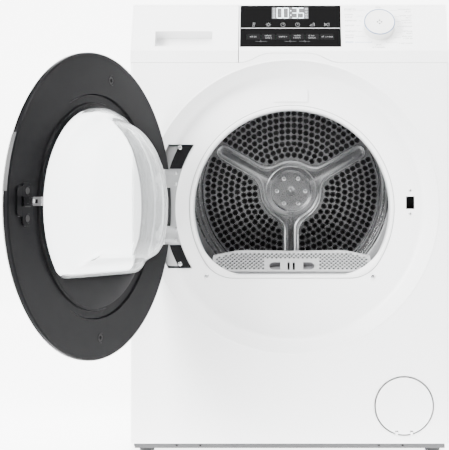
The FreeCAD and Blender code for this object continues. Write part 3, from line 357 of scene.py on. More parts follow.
# the drum's wall gets a lighter copy of the drum steel; the darker copy on its back is painted shade
rolledSteel = surface("rolledSteel", (0.86, 0.865, 0.87), 0.3, metallic=1.0, mottle=0.05, grain=0.01,
                      grainScale=160, stretch=(1, 8, 1), roughSpread=0.05)
nodes["drum_shell"].data.materials[0] = rolledSteel
print("stage: finishes on every CAD node")


# places taken from the frame

joints = {j["name"]: j for j in frame["joints"]}
doorJoint = joints["door_hinge"]
places = {
    "hingeReach": 240 * mm,        # hinge axis to the middle of the door
    "rimBehindHinge": 6 * mm,
    "knobUpSlope": 52 * mm,        # foot of the leaning fascia to the middle of the knob
    "mouthDrop": 2 * mm,           # the loading opening sits this much below the door's middle
}
doorTurn = Matrix.Rotation(math.radians(doorJoint["range_deg"][0]), 4, "Z")
doorPlace = (Matrix.Translation(Vector(doorJoint["pos_m"])) @ doorTurn
             @ Matrix.Translation(Vector((places["hingeReach"], places["rimBehindHinge"], 0))))
drumMiddle = Vector(joints["drum_spin"]["pos_m"])
knobMiddle = Vector(joints["knob_turn"]["pos_m"])
slopeOut = Vector(joints["knob_turn"]["axis"])
slopeUp = Vector((0, slopeOut.z, -slopeOut.y))
slopeFoot = knobMiddle - slopeUp * places["knobUpSlope"]
slopeFoot.x = 0
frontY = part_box("front_panel")[0].y
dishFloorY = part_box("lamp_cover")[1].y
mouthMiddle = Vector((drumMiddle.x, 0, doorJoint["pos_m"][2] - places["mouthDrop"]))


def onSlope(u, v, depth):
    # across, up the leaning fascia, and out of it, in metres
    return slopeFoot + Vector((u, 0, 0)) + slopeUp * v + slopeOut * depth


def onFront(u, v, depth):
    # across, up, and out of the front panel
    return Vector((u, frontY - depth, v))


def onDoor(u, v, depth):
    # door coordinates: across, up, and towards the drum
    return doorPlace @ Vector((u, depth, v))


# drum back: perforated plate, three pressed ribs, stepped rim

drumBack = {
    "plateY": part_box("drum_back")[1].y - 5 * mm,
    "rows": [80.5, 93, 105.6, 119.5, 133, 146, 159, 172.6, 185.5],    # radii of the rows of holes
    "pitch": 13.3 * mm,
    "ribAngles": (30, 150, 270),
    "ribMargin": 25 * mm,             # holes keep this far from the middle of a rib
    "rowMargins": (9 * mm, 3 * mm),   # and this much more in the first and second row
    "holeSides": 14,
    # (radius, depth) of a hole's lip
    "flare": [(6.2, 0.0), (5.8, 0.5), (5.0, 1.5), (4.3, 2.3), (4.0, 2.6)],
    "innerRadius": 60 * mm,
    "outerRadius": 194 * mm,
    "rim": [(194, 0), (195.6, 0.8), (196.8, 3), (198, 4.6), (203, 5.2), (205.5, 4.4), (206.6, 1),
            (207.4, -3.5), (209, -6), (212, -7), (215, -6.4), (217, -4), (218, 0), (219.6, 2.6), (224, 3.6),
            (250, 4.2), (285.4, 4.6), (285.4, 5.2), (194, 5.8)],
    "hubDish": [(61, 0.2), (59.4, -0.6), (57.6, -2.6), (56.2, -3.6), (54.4, -3.2), (52.6, -1.6), (50.4, -1.2),
                (45, -3.4), (43.6, -6.2), (42, -7.2), (39.5, -7.5), (30, -7.5), (12, -7.5), (3.4, -7.5),
                (2.6, -7), (1.6, -6.2), (0.2, -6), (0.2, 3), (61, 3)],
    "shade": [(1, 9), (200, 9), (200, 10), (1, 10)],    # dark disc behind the holes: painted shade
    "screws": 6, "screwRing": 31.5 * mm, "screwFace": 7.3 * mm, "screwRadius": 5.2 * mm,
}
# the pressed star in the middle: a hub ring with three arms, in millimetres
spider = {
    "hub": 67, "armHalf": 15.5, "armEnd": 187, "blend": 26,
    "steps": ((-2.4, -0.4), (-1.6, 0.9), (-0.4, 2.4), (0.8, 2.8), (1.8, 2.4), (2.8, 1.2), (4, 0.8),
              (5.6, 0.9), (6.6, 1.7), (7.6, 2.7), (9, 3)),    # (inset from its outline, height)
    "turns": (0, 0.6, 1.2, 1.9, 2.6, 3.3, 4, 4.7, 5.4, 6.2, 7.2,
              8.4, 10, 12, 14.5, 17.5, 21, 25, 30, 36, 43, 51),    # degrees either side of an arm
    "between": 60,                # degrees from an arm to the middle of the gap
    "search": (10.0, 210.0),      # the outline lies between these radii
    "closeEnough": 0.01,
}


def drumHoles():
    spots = []
    for row, radius in enumerate(drumBack["rows"]):
        radius *= mm
        margin = drumBack["ribMargin"] + [*drumBack["rowMargins"], 0][min(row, 2)]
        edge = math.asin(margin / radius)
        span = 2 * pi / 3 - 2 * edge
        count = max(int(round(span * radius / drumBack["pitch"])), 2)
        for rib in drumBack["ribAngles"]:
            for k in range(count + 1):
                angle = math.radians(rib) + edge + span * k / count
                spots.append(Vector((radius * math.cos(angle), radius * math.sin(angle))))
    return spots


def circleLoop(centre, radius, sides):
    return [(centre[0] + radius * math.cos(2 * pi * i / sides),
             centre[1] + radius * math.sin(2 * pi * i / sides)) for i in range(sides)]


def perforatedPlate(name, outlines, centres, flare, sides, toWorld, body, slotName):
    # a sheet cut by outlines, with a rolled lip leading into every hole
    holes = [circleLoop(centre, flare[0][0] * mm, sides) for centre in centres]
    points, edges, starts = loopEdges([*outlines, *holes])
    holeStarts = starts[len(outlines):]
    flat, _, tris, origins, *_ = delaunay_2d_cdt(points, edges, [], 1, 1e-8)
    if len(flat) != len(points):
        print("note: outline points merged in", name)
    lookup = {}
    for new, olds in enumerate(origins):
        for old in olds:
            lookup[old] = new
    inHole = {}
    for n, first in enumerate(holeStarts):
        for i in range(sides):
            inHole[lookup[first + i]] = n
    kept = []
    for tri in tris:
        owners = {inHole.get(i) for i in tri}
        if len(owners) == 1 and None not in owners:
            continue
        middle = sum((flat[i] for i in tri), Vector((0, 0))) / len(tri)
        if insideLoop(middle, outlines[0]) and not any(insideLoop(middle, o) for o in outlines[1:]):
            kept.append(tuple(tri))
    verts = [toWorld(p.x, p.y, 0) for p in flat]
    faces = kept
    for n, first in enumerate(holeStarts):
        centre = centres[n]
        before = [lookup[first + i] for i in range(sides)]
        for radius, back in flare[1:]:
            start = len(verts)
            for x, y in circleLoop(centre, radius * mm, sides):
                verts.append(toWorld(x, y, -back * mm))
            now = list(range(start, start + sides))
            for i in range(sides):
                j = (i + 1) % sides
                faces.append((before[i], before[j], now[j], now[i]))
            before = now
    return newPiece(name, verts, faces, body, slotName)


def onDrum(u, v, depth):
    return Vector((drumMiddle.x + u, drumBack["plateY"] - depth, drumMiddle.z + v))


def smoothLeast(values, blend):
    least = values[0]
    for other in values[1:]:
        h = max(blend - abs(least - other), 0) / blend
        least = min(least, other) - h * h * blend / 4
    return least


def spiderDistance(x, y):
    # how far a point lies outside the pressed spider: a hub ring with three arms
    shapes = [math.hypot(x, y) - spider["hub"]]
    for angle in drumBack["ribAngles"]:
        turn = math.radians(angle)
        along, across = x * math.cos(turn) + y * math.sin(turn), y * math.cos(turn) - x * math.sin(turn)
        end = spider["armEnd"] - spider["armHalf"]
        shapes.append(math.hypot(along - min(max(along, 0), end), across) - spider["armHalf"])
    return smoothLeast(shapes, spider["blend"])


def spiderContour(inset):
    # the star's outline moved inwards: for each direction the radius is found by halving
    turns = spider["turns"]
    line = []
    for rib in drumBack["ribAngles"]:
        for turn in [-t for t in reversed(turns[1:])] + [*turns, spider["between"]]:
            angle = math.radians(rib + turn)
            low, high = spider["search"]
            while high - low > spider["closeEnough"]:
                r = (low + high) / 2
                inside = spiderDistance(r * math.cos(angle), r * math.sin(angle)) < -inset
                low, high = (r, high) if inside else (low, r)
            line.append((low * math.cos(angle), low * math.sin(angle)))
    return line


def pressedSpider():
    verts = []
    for inset, height in spider["steps"]:
        verts += [onDrum(x * mm, y * mm, height * mm) for x, y in spiderContour(inset)]
    steps = len(spider["steps"])
    count = len(verts) // steps
    faces = ringFaces(count, steps)
    middle = len(verts)
    verts.append(onDrum(0, 0, spider["steps"][-1][1] * mm))
    faces += [((steps - 1) * count + i, (steps - 1) * count + (i + 1) % count, middle) for i in range(count)]
    return newPiece("drum_spider", verts, faces, "drum", "drum_steel")


def buildDrumBack():
    outline = circleLoop((0, 0), drumBack["outerRadius"], 160)
    hub = circleLoop((0, 0), drumBack["innerRadius"], 72)
    plate = perforatedPlate("drum_back_plate", [outline, hub], drumHoles(), drumBack["flare"],
                            drumBack["holeSides"], onDrum, "drum", "drum_steel")
    place = Matrix.Translation(Vector((drumMiddle.x, drumBack["plateY"], drumMiddle.z)))
    rim = loftPiece("drum_back_rim", inMetres(drumBack["rim"]), "drum", "drum_steel", 200, place)
    hubRing = loftPiece("drum_hub_dish", inMetres(drumBack["hubDish"]), "drum", "machine_steel", 120, place)
    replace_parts(hubRing, "drum_shaft")
    back = joined("drum_back_panel", plate, rim, pressedSpider())
    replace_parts(back, "drum_back")
    heads = []
    for i, (x, y) in enumerate(circleLoop((0, 0), drumBack["screwRing"], drumBack["screws"])):
        spot = onDrum(x, y, drumBack["screwFace"])
        heads.append(screwHead(f"hub_screw_{i}", spot, drumBack["screwRadius"], "drum"))
    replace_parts(joined("hub_screw_set", *heads), "hub_screws")
    # a dark disc behind the perforations, painted shade for the dark space behind the drum
    loftPiece("drum_rear_shade", inMetres(drumBack["shade"]), "drum", "latch_black", 64, place, paintedHoleShade)


# a domed screw head with a cross recess; every size is a share of the head's radius
headShape = {
    "sides": 24,
    "rings": [(1.0, 0.0), (1.0, 0.28), (0.93, 0.42), (0.8, 0.5), (0.62, 0.55), (0.46, 0.57)],
    # (radius, rise)
    "cross": (0.44, 0.3, 0.16, 0.16, 0.16, 0.3),    # reach of the recess over a quarter turn
    "crossRises": (0.57, 0.12),                     # rim and floor of the recess
}


def screwHead(name, spot, radius, body, facing=Matrix(), slotName="screw_steel"):
    # it faces the front unless turned
    sides = headShape["sides"]
    verts = []
    rings = [([share] * sides, rise) for share, rise in headShape["rings"]]
    rings += [(headShape["cross"] * 4, rise) for rise in headShape["crossRises"]]
    for shares, rise in rings:
        for i, share in enumerate(shares):
            angle = 2 * pi * i / sides
            verts.append((radius * share * math.cos(angle), -radius * rise, radius * share * math.sin(angle)))
    last = (len(rings) - 1) * sides
    faces = ringFaces(sides, len(rings)) + [tuple(range(sides)), tuple(range(last, last + sides))]
    placed = [spot + facing.to_3x3() @ Vector(v) for v in verts]
    return newPiece(name, placed, faces, body, slotName)


buildDrumBack()
print("stage: drum back")


# small radii, in millimetres, where the plain CAD edges would look too sharp

edgeRadii = {
    "worktop": 1.2, "tank_drawer_front": 0.8, "fascia": 0.7, "left_side_panel": 0.6, "right_side_panel": 0.6,
    "lamp_cover": 1.6, "door_latch": 0.5, "display_window": 0.5, "service_flap": 0.6, "hinge_covers": 0.8,
    "hinge_plate": 0.5, "latch_hook": 0.6, "rear_duct_cover": 1.5, "cord_gland": 0.6, "filter_cassette": 0.6,
}
for nodeName, width in edgeRadii.items():
    softEdges(nodes[nodeName], width * mm, segments=3)


# lint filter: a slanting plate with rows of holes, a handle with two finger holes and two slots

filterPlate = {
    "lean": math.radians(45),
    "frontFace": 1.0,             # in front of the plate's middle, in millimetres like all below
    "topHeight": (31, 36, 39.5, 40.8, 40.2, 39.3, 40.2, 40.8, 39.5, 36, 31),
    "topSpread": (-150, -125, -108, -92, -50, 0, 50, 92, 108, 125, 150),
    "pitchAcross": 8.4,
    "pitchUp": 3.3,
    "margin": 6.5,
    "handle": (-44, 44, 1.5, 30),
    "handleDepth": (0.02, 2.2),
    "slots": (-8, 2), "slotWide": 4, "slotUp": (5, 25),
    # depth of the dark sheet behind the plate, which is painted shade
    "cupDepth": (1.2, -9),
    "shadeSheetDepth": (-9.8, -9.4),
    "rowsTo": 60,
    "flare": [(3.0, 0.0), (2.7, 0.4), (2.4, 1.2), (2.3, 2.6)],    # (radius, depth) of a hole's lip
    "border": ((0, -1.4), (0, 0.6), (0.9, 1.2), (2.2, 1.1), (2.9, 0.02)),    # (inset, height)
    "borderMiddle": 25,
}
filterFoot = Vector((drumMiddle.x, dishFloorY + 5 * mm, 335 * mm))
# the loading opening: its radius, its flat underside and the radius of its corners
mouth = {"radius": 190, "flat": 129, "corner": 62}


def onFilter(u, v, depth):
    lean = filterPlate["lean"]
    depth += filterPlate["frontFace"] * mm
    return filterFoot + Vector((u, v * math.cos(lean) - depth * math.sin(lean),
                                v * math.sin(lean) + depth * math.cos(lean)))


def mouthEdge(grow, start, end, steps):
    # points (across, height above the filter's foot) along the loading opening, in metres
    line = []
    for i in range(steps + 1):
        angle = math.radians(start + (end - start) * i / steps)
        r = flatRadius(angle, *((mouth[key] + grow) * mm for key in ("radius", "flat", "corner")))
        line.append((r * math.cos(angle), mouthMiddle.z + r * math.sin(angle) - filterFoot.z))
    return line


def buildFilter():
    lean = filterPlate["lean"]
    bottom = [(x, z / math.sin(lean)) for x, z in mouthEdge(-7.2, 214, 326, 72)]
    top = [(x * mm, h * mm / math.sin(lean)) for x, h in
           zip(reversed(filterPlate["topSpread"]), reversed(filterPlate["topHeight"]))]
    outline = [p for p in bottom if p[1] < top[0][1] - 2 * mm] + top
    x0, x1, v0, v1 = [n * mm for n in filterPlate["handle"]]
    fingers = [roundedFinger(side) for side in (-1, 1)]
    slotLow, slotHigh = [n * mm for n in filterPlate["slotUp"]]
    slots = [roundedBox(x * mm, (x + filterPlate["slotWide"]) * mm, slotLow, slotHigh, 1.9 * mm)
             for x in filterPlate["slots"]]
    pitch, rise, margin = (filterPlate[k] * mm for k in ("pitchAcross", "pitchUp", "margin"))
    centres = []
    row, v = 0, margin
    while v < filterPlate["rowsTo"] * mm:
        u = -19 * pitch + (pitch / 2 if row % 2 else 0)    # every other row is set over by half a pitch
        while u < 20 * pitch:
            spot = Vector((u, v))
            around = [spot + Vector((margin * 0.75 * math.cos(a), margin * 0.75 * math.sin(a)))
                      for a in (0, 1.57, 3.14, 4.71)]
            clear = not (x0 - margin < u < x1 + margin and v < v1 + margin * 0.8)
            if clear and all(insideLoop(p, outline) for p in around):
                centres.append(spot)
            u += pitch
        row, v = row + 1, v + rise / math.sin(lean)
    plate = perforatedPlate("filter_plate", [outline, *fingers, *slots], centres, filterPlate["flare"], 12,
                            onFilter, "lint_filter", "filter_grey")
    handleOutline = (arcPoints((x1 - 6 * mm, v1 - 5 * mm), 5 * mm, 0, 90, 6)
                     + arcPoints((x0 + 6 * mm, v1 - 5 * mm), 5 * mm, 90, 180, 6)
                     + [(x0 - 3 * mm, v0), (x1 + 3 * mm, v0)])
    low, high = [n * mm for n in filterPlate["handleDepth"]]
    handle = slabPiece("filter_handle", handleOutline, low, high, onFilter, "lint_filter", "filter_grey",
                       holes=[*fingers, *slots])
    softEdges(handle, 0.8 * mm)
    for name, hole in zip(("left", "right"), fingers):
        # the walls of the finger holes take the darker fan plastic: painted shade inside the holes
        wall = [onFilter(u, v, d * mm) for d in filterPlate["cupDepth"] for u, v in hole]
        count = len(hole)
        faces = [(i, (i + 1) % count, count + (i + 1) % count, count + i) for i in range(count)]
        newPiece(f"finger_cup_{name}", wall, faces + [tuple(range(count, 2 * count))], "lint_filter",
                 "filter_grey", finishes["fan_plastic"])
    # a dark sheet behind the plate, painted shade seen through its holes
    backing = [(x * 0.985, v * 0.985 + 0.5 * mm) for x, v in outline]    # a little inside the plate's outline
    low, high = [n * mm for n in filterPlate["shadeSheetDepth"]]
    slabPiece("filter_shade_sheet", backing, low, high, onFilter, "lint_filter", "latch_black", paintedHoleShade)
    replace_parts(plate, "filter_cover")
    rolledBorder("filter_rim", outline)


finger = {"out": 33.5 * mm, "up": 15.5 * mm, "radius": 9.5 * mm, "inner": 22 * mm}


def roundedFinger(side):
    # a finger hole: straight towards the handle's middle, round on the outside
    up, radius = finger["up"], finger["radius"]
    line = arcPoints((finger["out"], up), radius, -90, 90, 12)
    line += [(finger["inner"], up + radius), (finger["inner"], up - radius)]
    if side < 0:
        line = [(-x, y) for x, y in line[:-2]][::-1] + [(-x, y) for x, y in line[:-3:-1]]
    return line


def rolledBorder(name, outline):
    # it stands a little proud of the plate
    count = len(outline)
    middle = Vector((0, filterPlate["borderMiddle"] * mm))
    verts = []
    for inset, height in filterPlate["border"]:
        for x, v in outline:
            out = Vector((x, v)) - middle
            p = Vector((x, v)) - out.normalized() * inset * mm
            verts.append(onFilter(p.x, p.y, height * mm))
    faces = ringFaces(count, len(filterPlate["border"]))
    newPiece(name, verts, faces, "lint_filter", "filter_grey")


buildFilter()
print("stage: lint filter")


# collar round the loading opening, with rounder lower corners than the hole behind it

collar = {    # (radius, depth, flat underside, corner) in millimetres
    "lip": [(193.2, 0.1, 132.2, 64), (193.2, -1.0, 132.2, 64), (192.2, -1.9, 131.2, 66),
            (190, -2.2, 129.6, 72),
            (187.6, -1.7, 128, 82), (186.4, 0, 127, 92), (185.4, 3.4, 126.6, 98), (187.4, 3.6, 128.4, 66),
            (187.6, 0.1, 128.4, 66)],
    # a thin dark ring outside the collar: painted shade in the gap against the dish
    "line": [(194.5, 0.1, 133.5, 65), (194.5, -0.35, 133.5, 65), (193.3, -0.35, 132.3, 64),
             (193.3, 0.1, 132.3, 64)],
}


def buildCollar():
    place = Matrix.Translation(Vector((mouthMiddle.x, dishFloorY, mouthMiddle.z)))
    lip = loftPiece("mouth_collar", inMetres(collar["lip"]), "cabinet", "seal_rubber", 240, place)
    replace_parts(lip, "mouth_seal")
    loftPiece("mouth_gap_shade_line", inMetres(collar["line"]), "cabinet", "filter_grey", 240, place)


buildCollar()
print("stage: collar")


# door glass: a pressed bowl with a rounded nose and a flat underside

bowl = {
    "wall": 4.2,
    "corner": 0.24,               # radius of the lower corners, as a share of the bowl's radius
    "rimRadius": 168,
    "thickBelow": 140,            # the wall is full thickness inside this radius, thinner towards the rim
    "outside": [(168, -5.8, 118), (168, 6, 118), (167.4, 12, 117.4), (165, 17, 115), (160.5, 21, 110),
                (155.5, 25, 104), (151.5, 31, 99), (147.5, 40, 93.5), (143, 50, 88.5), (138, 58, 84),
                (130.5, 64.4, 78), (119, 68, 70), (104, 69.4, 61), (60, 69.9, 38), (0.5, 70, 0.45)],
}


def buildBowl():
    wall, corner, full = bowl["wall"], bowl["corner"], bowl["thickBelow"]
    outside = [(r * mm, y * mm, flat * mm, corner * r * mm) for r, y, flat in bowl["outside"]]
    inside = []
    for r, y, flat in reversed(bowl["outside"]):
        thin = min(wall, r * 0.9)
        back = wall if r < full else wall * max(0.0, (bowl["rimRadius"] - r) / (bowl["rimRadius"] - full))
        inside.append(((r - thin) * mm, (y - back) * mm, max(flat - thin, 0.05) * mm,
                       corner * (r - thin) * mm))
    piece = loftPiece("door_glass", outside + inside, "door", "bowl_glass", 220, doorPlace)
    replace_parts(piece, "door_bowl")


buildBowl()
print("stage: door glass")


# door rim: a black frame that closes in on the glass, a grip, screw wells and the latch boss

rim = {
    "frame": [(172.6, -5.4), (172.6, 0.4), (171.4, 0.9), (167.6, 1.5, 117.4, 41), (166, 1.1, 115.6, 41),
              (165.4, -1.6, 115, 40.6), (165.4, -5.4, 115, 40.6)],
    "grip": (5.3, 26.2), "gripSteps": 40,    # from and to, in degrees
    "gripSide": [(262.1, -2.6), (262.1, -9.05), (255.3, -16), (254, -16)],
    "wells": ((-44.2, 218.7, 7.6), (-8.6, -224.3, 7.6)),
    "bossWells": ((213, 24.7, 6.4), (213, -18.9, 6.4)),
    "boss": (200, 227, -31, 37), "bossRise": 3.2,
    "bossHole": (205, 221, -1, 11),
    "edge": 1.2,
}


def roundWell(name, u, v, radius, face):
    # a dished hole with a soft lip, and a dark floor that is painted shade
    shape = [(radius + 1.6, face), (radius + 1.1, face + 0.5), (radius, face + 0.6),
             (radius - 0.7, face + 0.2),
             (radius - 1, face + 0.05)]
    place = doorPlace @ Matrix.Translation(Vector((u * mm, 0, v * mm)))
    floor = [(0.2, face + 0.1), (radius - 0.6, face + 0.1), (radius - 0.6, face), (0.2, face)]
    loftPiece(name, inMetres(shape), "door", "door_inner_black", 40, place)
    # the dark floor is painted shade at the bottom of the well
    loftPiece(name + "_floor", inMetres(floor), "door", "door_inner_black", 40, place, paintedHoleShade)


def buildRim():
    loftPiece("door_frame", inMetres(rim["frame"]), "door", "door_inner_black", 240, doorPlace)
    low, high = rim["grip"]
    verts, faces = [], []
    count = len(rim["gripSide"])
    steps = rim["gripSteps"]
    for i in range(steps + 1):
        angle = math.radians(low + (high - low) * i / steps)
        for r, y in rim["gripSide"]:
            verts.append(doorPlace @ Vector((r * mm * math.cos(angle), y * mm, r * mm * math.sin(angle))))
    for i in range(steps):
        for k in range(count - 1):
            a = i * count + k
            faces.append((a, a + 1, a + count + 1, a + count))
    newPiece("door_grip", verts, faces, "door", "door_black", gripGrey)
    for i, (u, v, radius) in enumerate(rim["wells"]):
        roundWell(f"rim_well_{i}", u, v, radius, 0)
        spot = doorPlace @ Vector((u * mm, 0.1 * mm, v * mm))
        screwHead(f"rim_screw_{i}", spot, 3.6 * mm, "door", facing=doorPlace @ Matrix.Rotation(pi, 4, "Z"),
                  slotName="latch_black")
    rise = rim["bossRise"]
    boss = slabPiece("latch_boss", roundedBox(*[n * mm for n in rim["boss"]], 9 * mm), 0, rise * mm, onDoor,
                     "door", "door_inner_black")
    softEdges(boss, rim["edge"] * mm, segments=3)
    # a dark patch on the boss face, painted shade standing for its hole
    slabPiece("latch_boss_hole_shade", roundedBox(*[n * mm for n in rim["bossHole"]], 1 * mm), (rise - 0.1) * mm,
              (rise + 0.2) * mm, onDoor, "door", "door_inner_black", paintedHoleShade)
    for i, (u, v, radius) in enumerate(rim["bossWells"]):
        roundWell(f"boss_well_{i}", u, v, radius, rise)
    for key in ("door_outer_ring", "door_inner_ring"):
        softEdges(nodes[key], rim["edge"] * mm, segments=3)


buildRim()
print("stage: door rim")


# recess screws on the dish and at the back, in place of the plain heads

screws = {
    "front": ((-157, 328, 0, 4.6), (157, 328, 0, 4.6), (228, 491, 0, 3), (228, 447, 0, 3),
              (-207, 572, 3, 4), (-207, 352, 3, 4)),    # across, up, in front of the dish floor, radius
    "rearColumns": (-285, 285), "rearRows": (40, 250, 480, 700, 810), "rearRadius": 4,
}


def buildScrews():
    heads = []
    for i, (x, z, out, radius) in enumerate(screws["front"]):
        spot = Vector((x * mm, dishFloorY - out * mm, z * mm))
        heads.append(screwHead(f"front_screw_{i}", spot, radius * mm, "cabinet"))
    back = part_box("rear_panel")[1].y
    turn = Matrix.Rotation(pi, 4, "Z")
    rear = [(x, z) for x in screws["rearColumns"] for z in screws["rearRows"]]
    for i, (x, z) in enumerate(rear):
        spot = Vector((x * mm, back, z * mm))
        heads.append(screwHead(f"rear_screw_{i}", spot, screws["rearRadius"] * mm, "cabinet", facing=turn))
    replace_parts(joined("screw_set", *heads), "panel_screws")


buildScrews()
print("stage: screws")


# edge bead of the pressed dish, and the dark strip under the front panel

frontTrim = {
    "bead": [(276.4, 0.1), (275.8, -0.5), (274.8, -0.9), (273.6, -0.7), (272.7, 0.1), (272.0, 1.5),
             (274, 1.6)],
    "strip": (-290, 290, 9.4, 17.9), "stripCorner": 1.5,
    "stripDepth": (-10, -1.2),
    "plugs": (-211, -167, 167, 211), "plugHeight": 14.6, "plugRadius": 1.8, "plugRise": 0.4,
}


def buildFrontTrim():
    place = Matrix.Translation(Vector((drumMiddle.x, frontY, doorJoint["pos_m"][2])))
    loftPiece("dish_bead", inMetres(frontTrim["bead"]), "cabinet", "white_enamel", 240, place)
    low, high = (n * mm for n in frontTrim["stripDepth"])
    outline = roundedBox(*(n * mm for n in frontTrim["strip"]), frontTrim["stripCorner"] * mm)
    slabPiece("base_strip", outline, low, high, onFront, "cabinet", "base_grey")
    up, radius, rise = (frontTrim[key] * mm for key in ("plugHeight", "plugRadius", "plugRise"))
    for i, x in enumerate(frontTrim["plugs"]):
        slabPiece(f"strip_plug_{i + 1}", ringLine(x * mm, up, radius)[:-1], high, high + rise, onFront,
                  "cabinet", "latch_black")


buildFrontTrim()
print("stage: bead and base strip")


# display: a lit time, small icons, labels on the keys, and one bright line across

display = {
    "lcd": (-33.6, 35.4, 71.8, 98.3),
    "digits": ((-23.9, "0"), (-12.0, "0"), (5.0, "3"), (16.6, "5")),
    "digitLow": 73.6, "digitHigh": 96.6, "digitWide": 9.6, "stroke": 1.5,
    "iconUp": 58.4, "iconSize": 4.3,
    "keyPitch": 27.5, "keyMiddle": 1.2, "labelUp": 30.6,
    "line": (-92.4, 95.6, 49.6, 50.7),
    "colon": (2.1, ((90.1, 91), (79.6, 80.5))),    # across, and its two dots from and to
    "sideIcons": ((-29.6, (94.6, 89.4, 84.6, 79.8, 75.2)), (31.6, (94.6, 88, 81.4, 75.4))),
    "icons": ("thermometer", "sun", "clock", "clock", "iron", "spin"),
    "links": ((-64.4, -54.3, -42.9), (-9.7, 1.2, 12.1), (17.7, 28.2, 38.5)), "linkUp": 20.3,
    "face": 0.8,                # front of the window, out of the fascia
    "keyFace": 1.1,
}
segmentsOf = {"0": "abcdef", "3": "abcdg", "5": "acdfg"}


def digitLines(left, figure):
    low, high, wide = (display[k] for k in ("digitLow", "digitHigh", "digitWide"))
    middle, right, gap = (low + high) / 2, left + wide, 0.9
    spans = {
        "a": [(left + gap, high), (right - gap, high)], "g": [(left + gap, middle), (right - gap, middle)],
        "d": [(left + gap, low), (right - gap, low)], "f": [(left, middle + gap), (left, high - gap)],
        "b": [(right, middle + gap), (right, high - gap)], "e": [(left, low + gap), (left, middle - gap)],
        "c": [(right, low + gap), (right, middle - gap)]}
    return [spans[s] for s in segmentsOf[figure]], [spans[s] for s in spans if s not in segmentsOf[figure]]


def iconLines(kind, x, y, r):
    if kind == "thermometer":
        return [ringLine(x - 0.6, y - r * 0.65, r * 0.42, 120, 420, 14),
                [(x - 1.5, y - r * 0.3), (x - 1.5, y + r), (x + 0.3, y + r), (x + 0.3, y - r * 0.3)],
                [(x + 1.4, y + r * 0.8), (x + 3, y + r * 0.8)],
                [(x + 1.4, y + r * 0.2), (x + 2.6, y + r * 0.2)]]
    if kind == "sun":
        rays = [[(x + r * a * math.cos(t), y + r * a * math.sin(t)) for a in (0.78, 1.1)]
                for t in [pi / 4 * i for i in range(8)]]
        return [ringLine(x, y, r * 0.55), *rays]
    if kind == "clock":
        return [ringLine(x, y, r * 0.95), [(x, y + r * 0.55), (x, y), (x + r * 0.45, y + r * 0.35)]]
    if kind == "iron":
        return [[(x - r, y - r * 0.7), (x + r, y - r * 0.7), (x + r, y + r * 0.2), (x - r * 0.2, y + r * 0.2),
                 (x - r, y - r * 0.7)], [(x + r * 0.2, y + r * 0.8), (x + r, y + r * 0.8), (x + r, y)]]
    return [[(x - r, y - r * 0.8), (x + r * 0.5, y + r * 0.8)],
            [(x - r, y + r * 0.8), (x + r * 0.5, y - r * 0.8)],
            [(x + r, y - r * 0.8), (x + r, y + r * 0.8)], [(x - r, y - r * 0.2), (x - r, y + r * 0.8)]]


def letterMarks(rng, x0, x1, y, tall):
    # strokes as wide and as dense as small printing, but no letters
    lines = []
    x = x0
    while x < x1 - tall * 0.2:
        wide = rng.uniform(0.32, 0.62) * tall
        if rng.random() < 0.12:
            x += wide
            continue
        lines.append([(x, y - tall / 2), (x, y + tall / 2)])
        level = y + rng.choice((-0.5, 0, 0.5)) * tall
        lines.append([(x, level), (min(x + wide * 0.7, x1), level)])
        x += wide + 0.25 * tall
    return lines


def slopePrint(name, lines, width, height, finish, body="cabinet", slotName="display_black"):
    # printed or lit lines, from just below the face to a little above it
    strokePiece(name, [inMetres(line) for line in lines], width * mm, onSlope,
                ((height - 0.02) * mm, (height + 0.06) * mm), body, slotName, finish)


def buildDisplay():
    face = display["face"]
    slabPiece("lcd_window", roundedBox(*[n * mm for n in display["lcd"]], 0.6 * mm), (face - 0.03) * mm,
              (face + 0.05) * mm, onSlope, "cabinet", "display_black", lcdFace)
    lit, dim = [], []
    for left, figure in display["digits"]:
        on, off = digitLines(left, figure)
        lit += on
        dim += off
    x, dots = display["colon"]
    lit += [[(x, low), (x, high)] for low, high in dots]
    slopePrint("lcd_digits", lit, display["stroke"], face + 0.05, lcdGlow)
    slopePrint("lcd_unlit", dim, display["stroke"], face + 0.04, lcdUnlit)
    small = []
    for x, ys in display["sideIcons"]:
        for i, y in enumerate(ys):
            small += [ringLine(x, y, 1.5, 0, 360, 10)] if i % 2 else [
                [(x - 1.7, y - 1.2), (x + 1.7, y - 1.2), (x + 1.7, y + 1.2), (x - 1.7, y + 1.2),
                 (x - 1.7, y - 1.2)]]
    slopePrint("lcd_icons", small, 0.5, face + 0.05, lcdDim)
    icons = []
    centres = [display["keyMiddle"] + (i - 2.5) * display["keyPitch"] for i in range(6)]
    for centre, kind in zip(centres, display["icons"]):
        icons += iconLines(kind, centre, display["iconUp"], display["iconSize"])
    slopePrint("key_icons", icons, 0.55, face, inkPale)
    slabPiece("display_line", roundedBox(*[n * mm for n in display["line"]], 0.4 * mm), (face - 0.02) * mm,
              (face + 0.08) * mm, onSlope, "cabinet", "display_black", lineSilver)
    rng = random.Random(11)
    up = display["labelUp"]
    for i, centre in enumerate(centres):
        # (height, half width) of each row of a key's label
        rows = [(up + 2.4, 6.5), (up - 2.6, 7.5)] if i in (1, 3, 4) else [(up, 11 if i == 5 else 6.5 + i)]
        marks = []
        for y, half in rows:
            marks += letterMarks(rng, centre - half, centre + half, y, 2.3)
        slopePrint(f"key_label_{i + 1}", marks, 0.42, display["keyFace"], inkPale, f"button_{i + 1}",
                   "key_black")
    marks = []
    up = display["linkUp"]
    for left, middle, right in display["links"]:
        marks += [[(left, up), (middle - 2.2, up)], [(middle + 2.2, up), (right, up)],
                  [(middle - 1.8, up), (middle, up + 1.7), (middle + 1.8, up), (middle, up - 1.7),
                   (middle - 1.8, up)]]
    slopePrint("key_links", marks, 0.4, face, inkGrey)


buildDisplay()


# programme knob with its coloured rim, and the printing round it

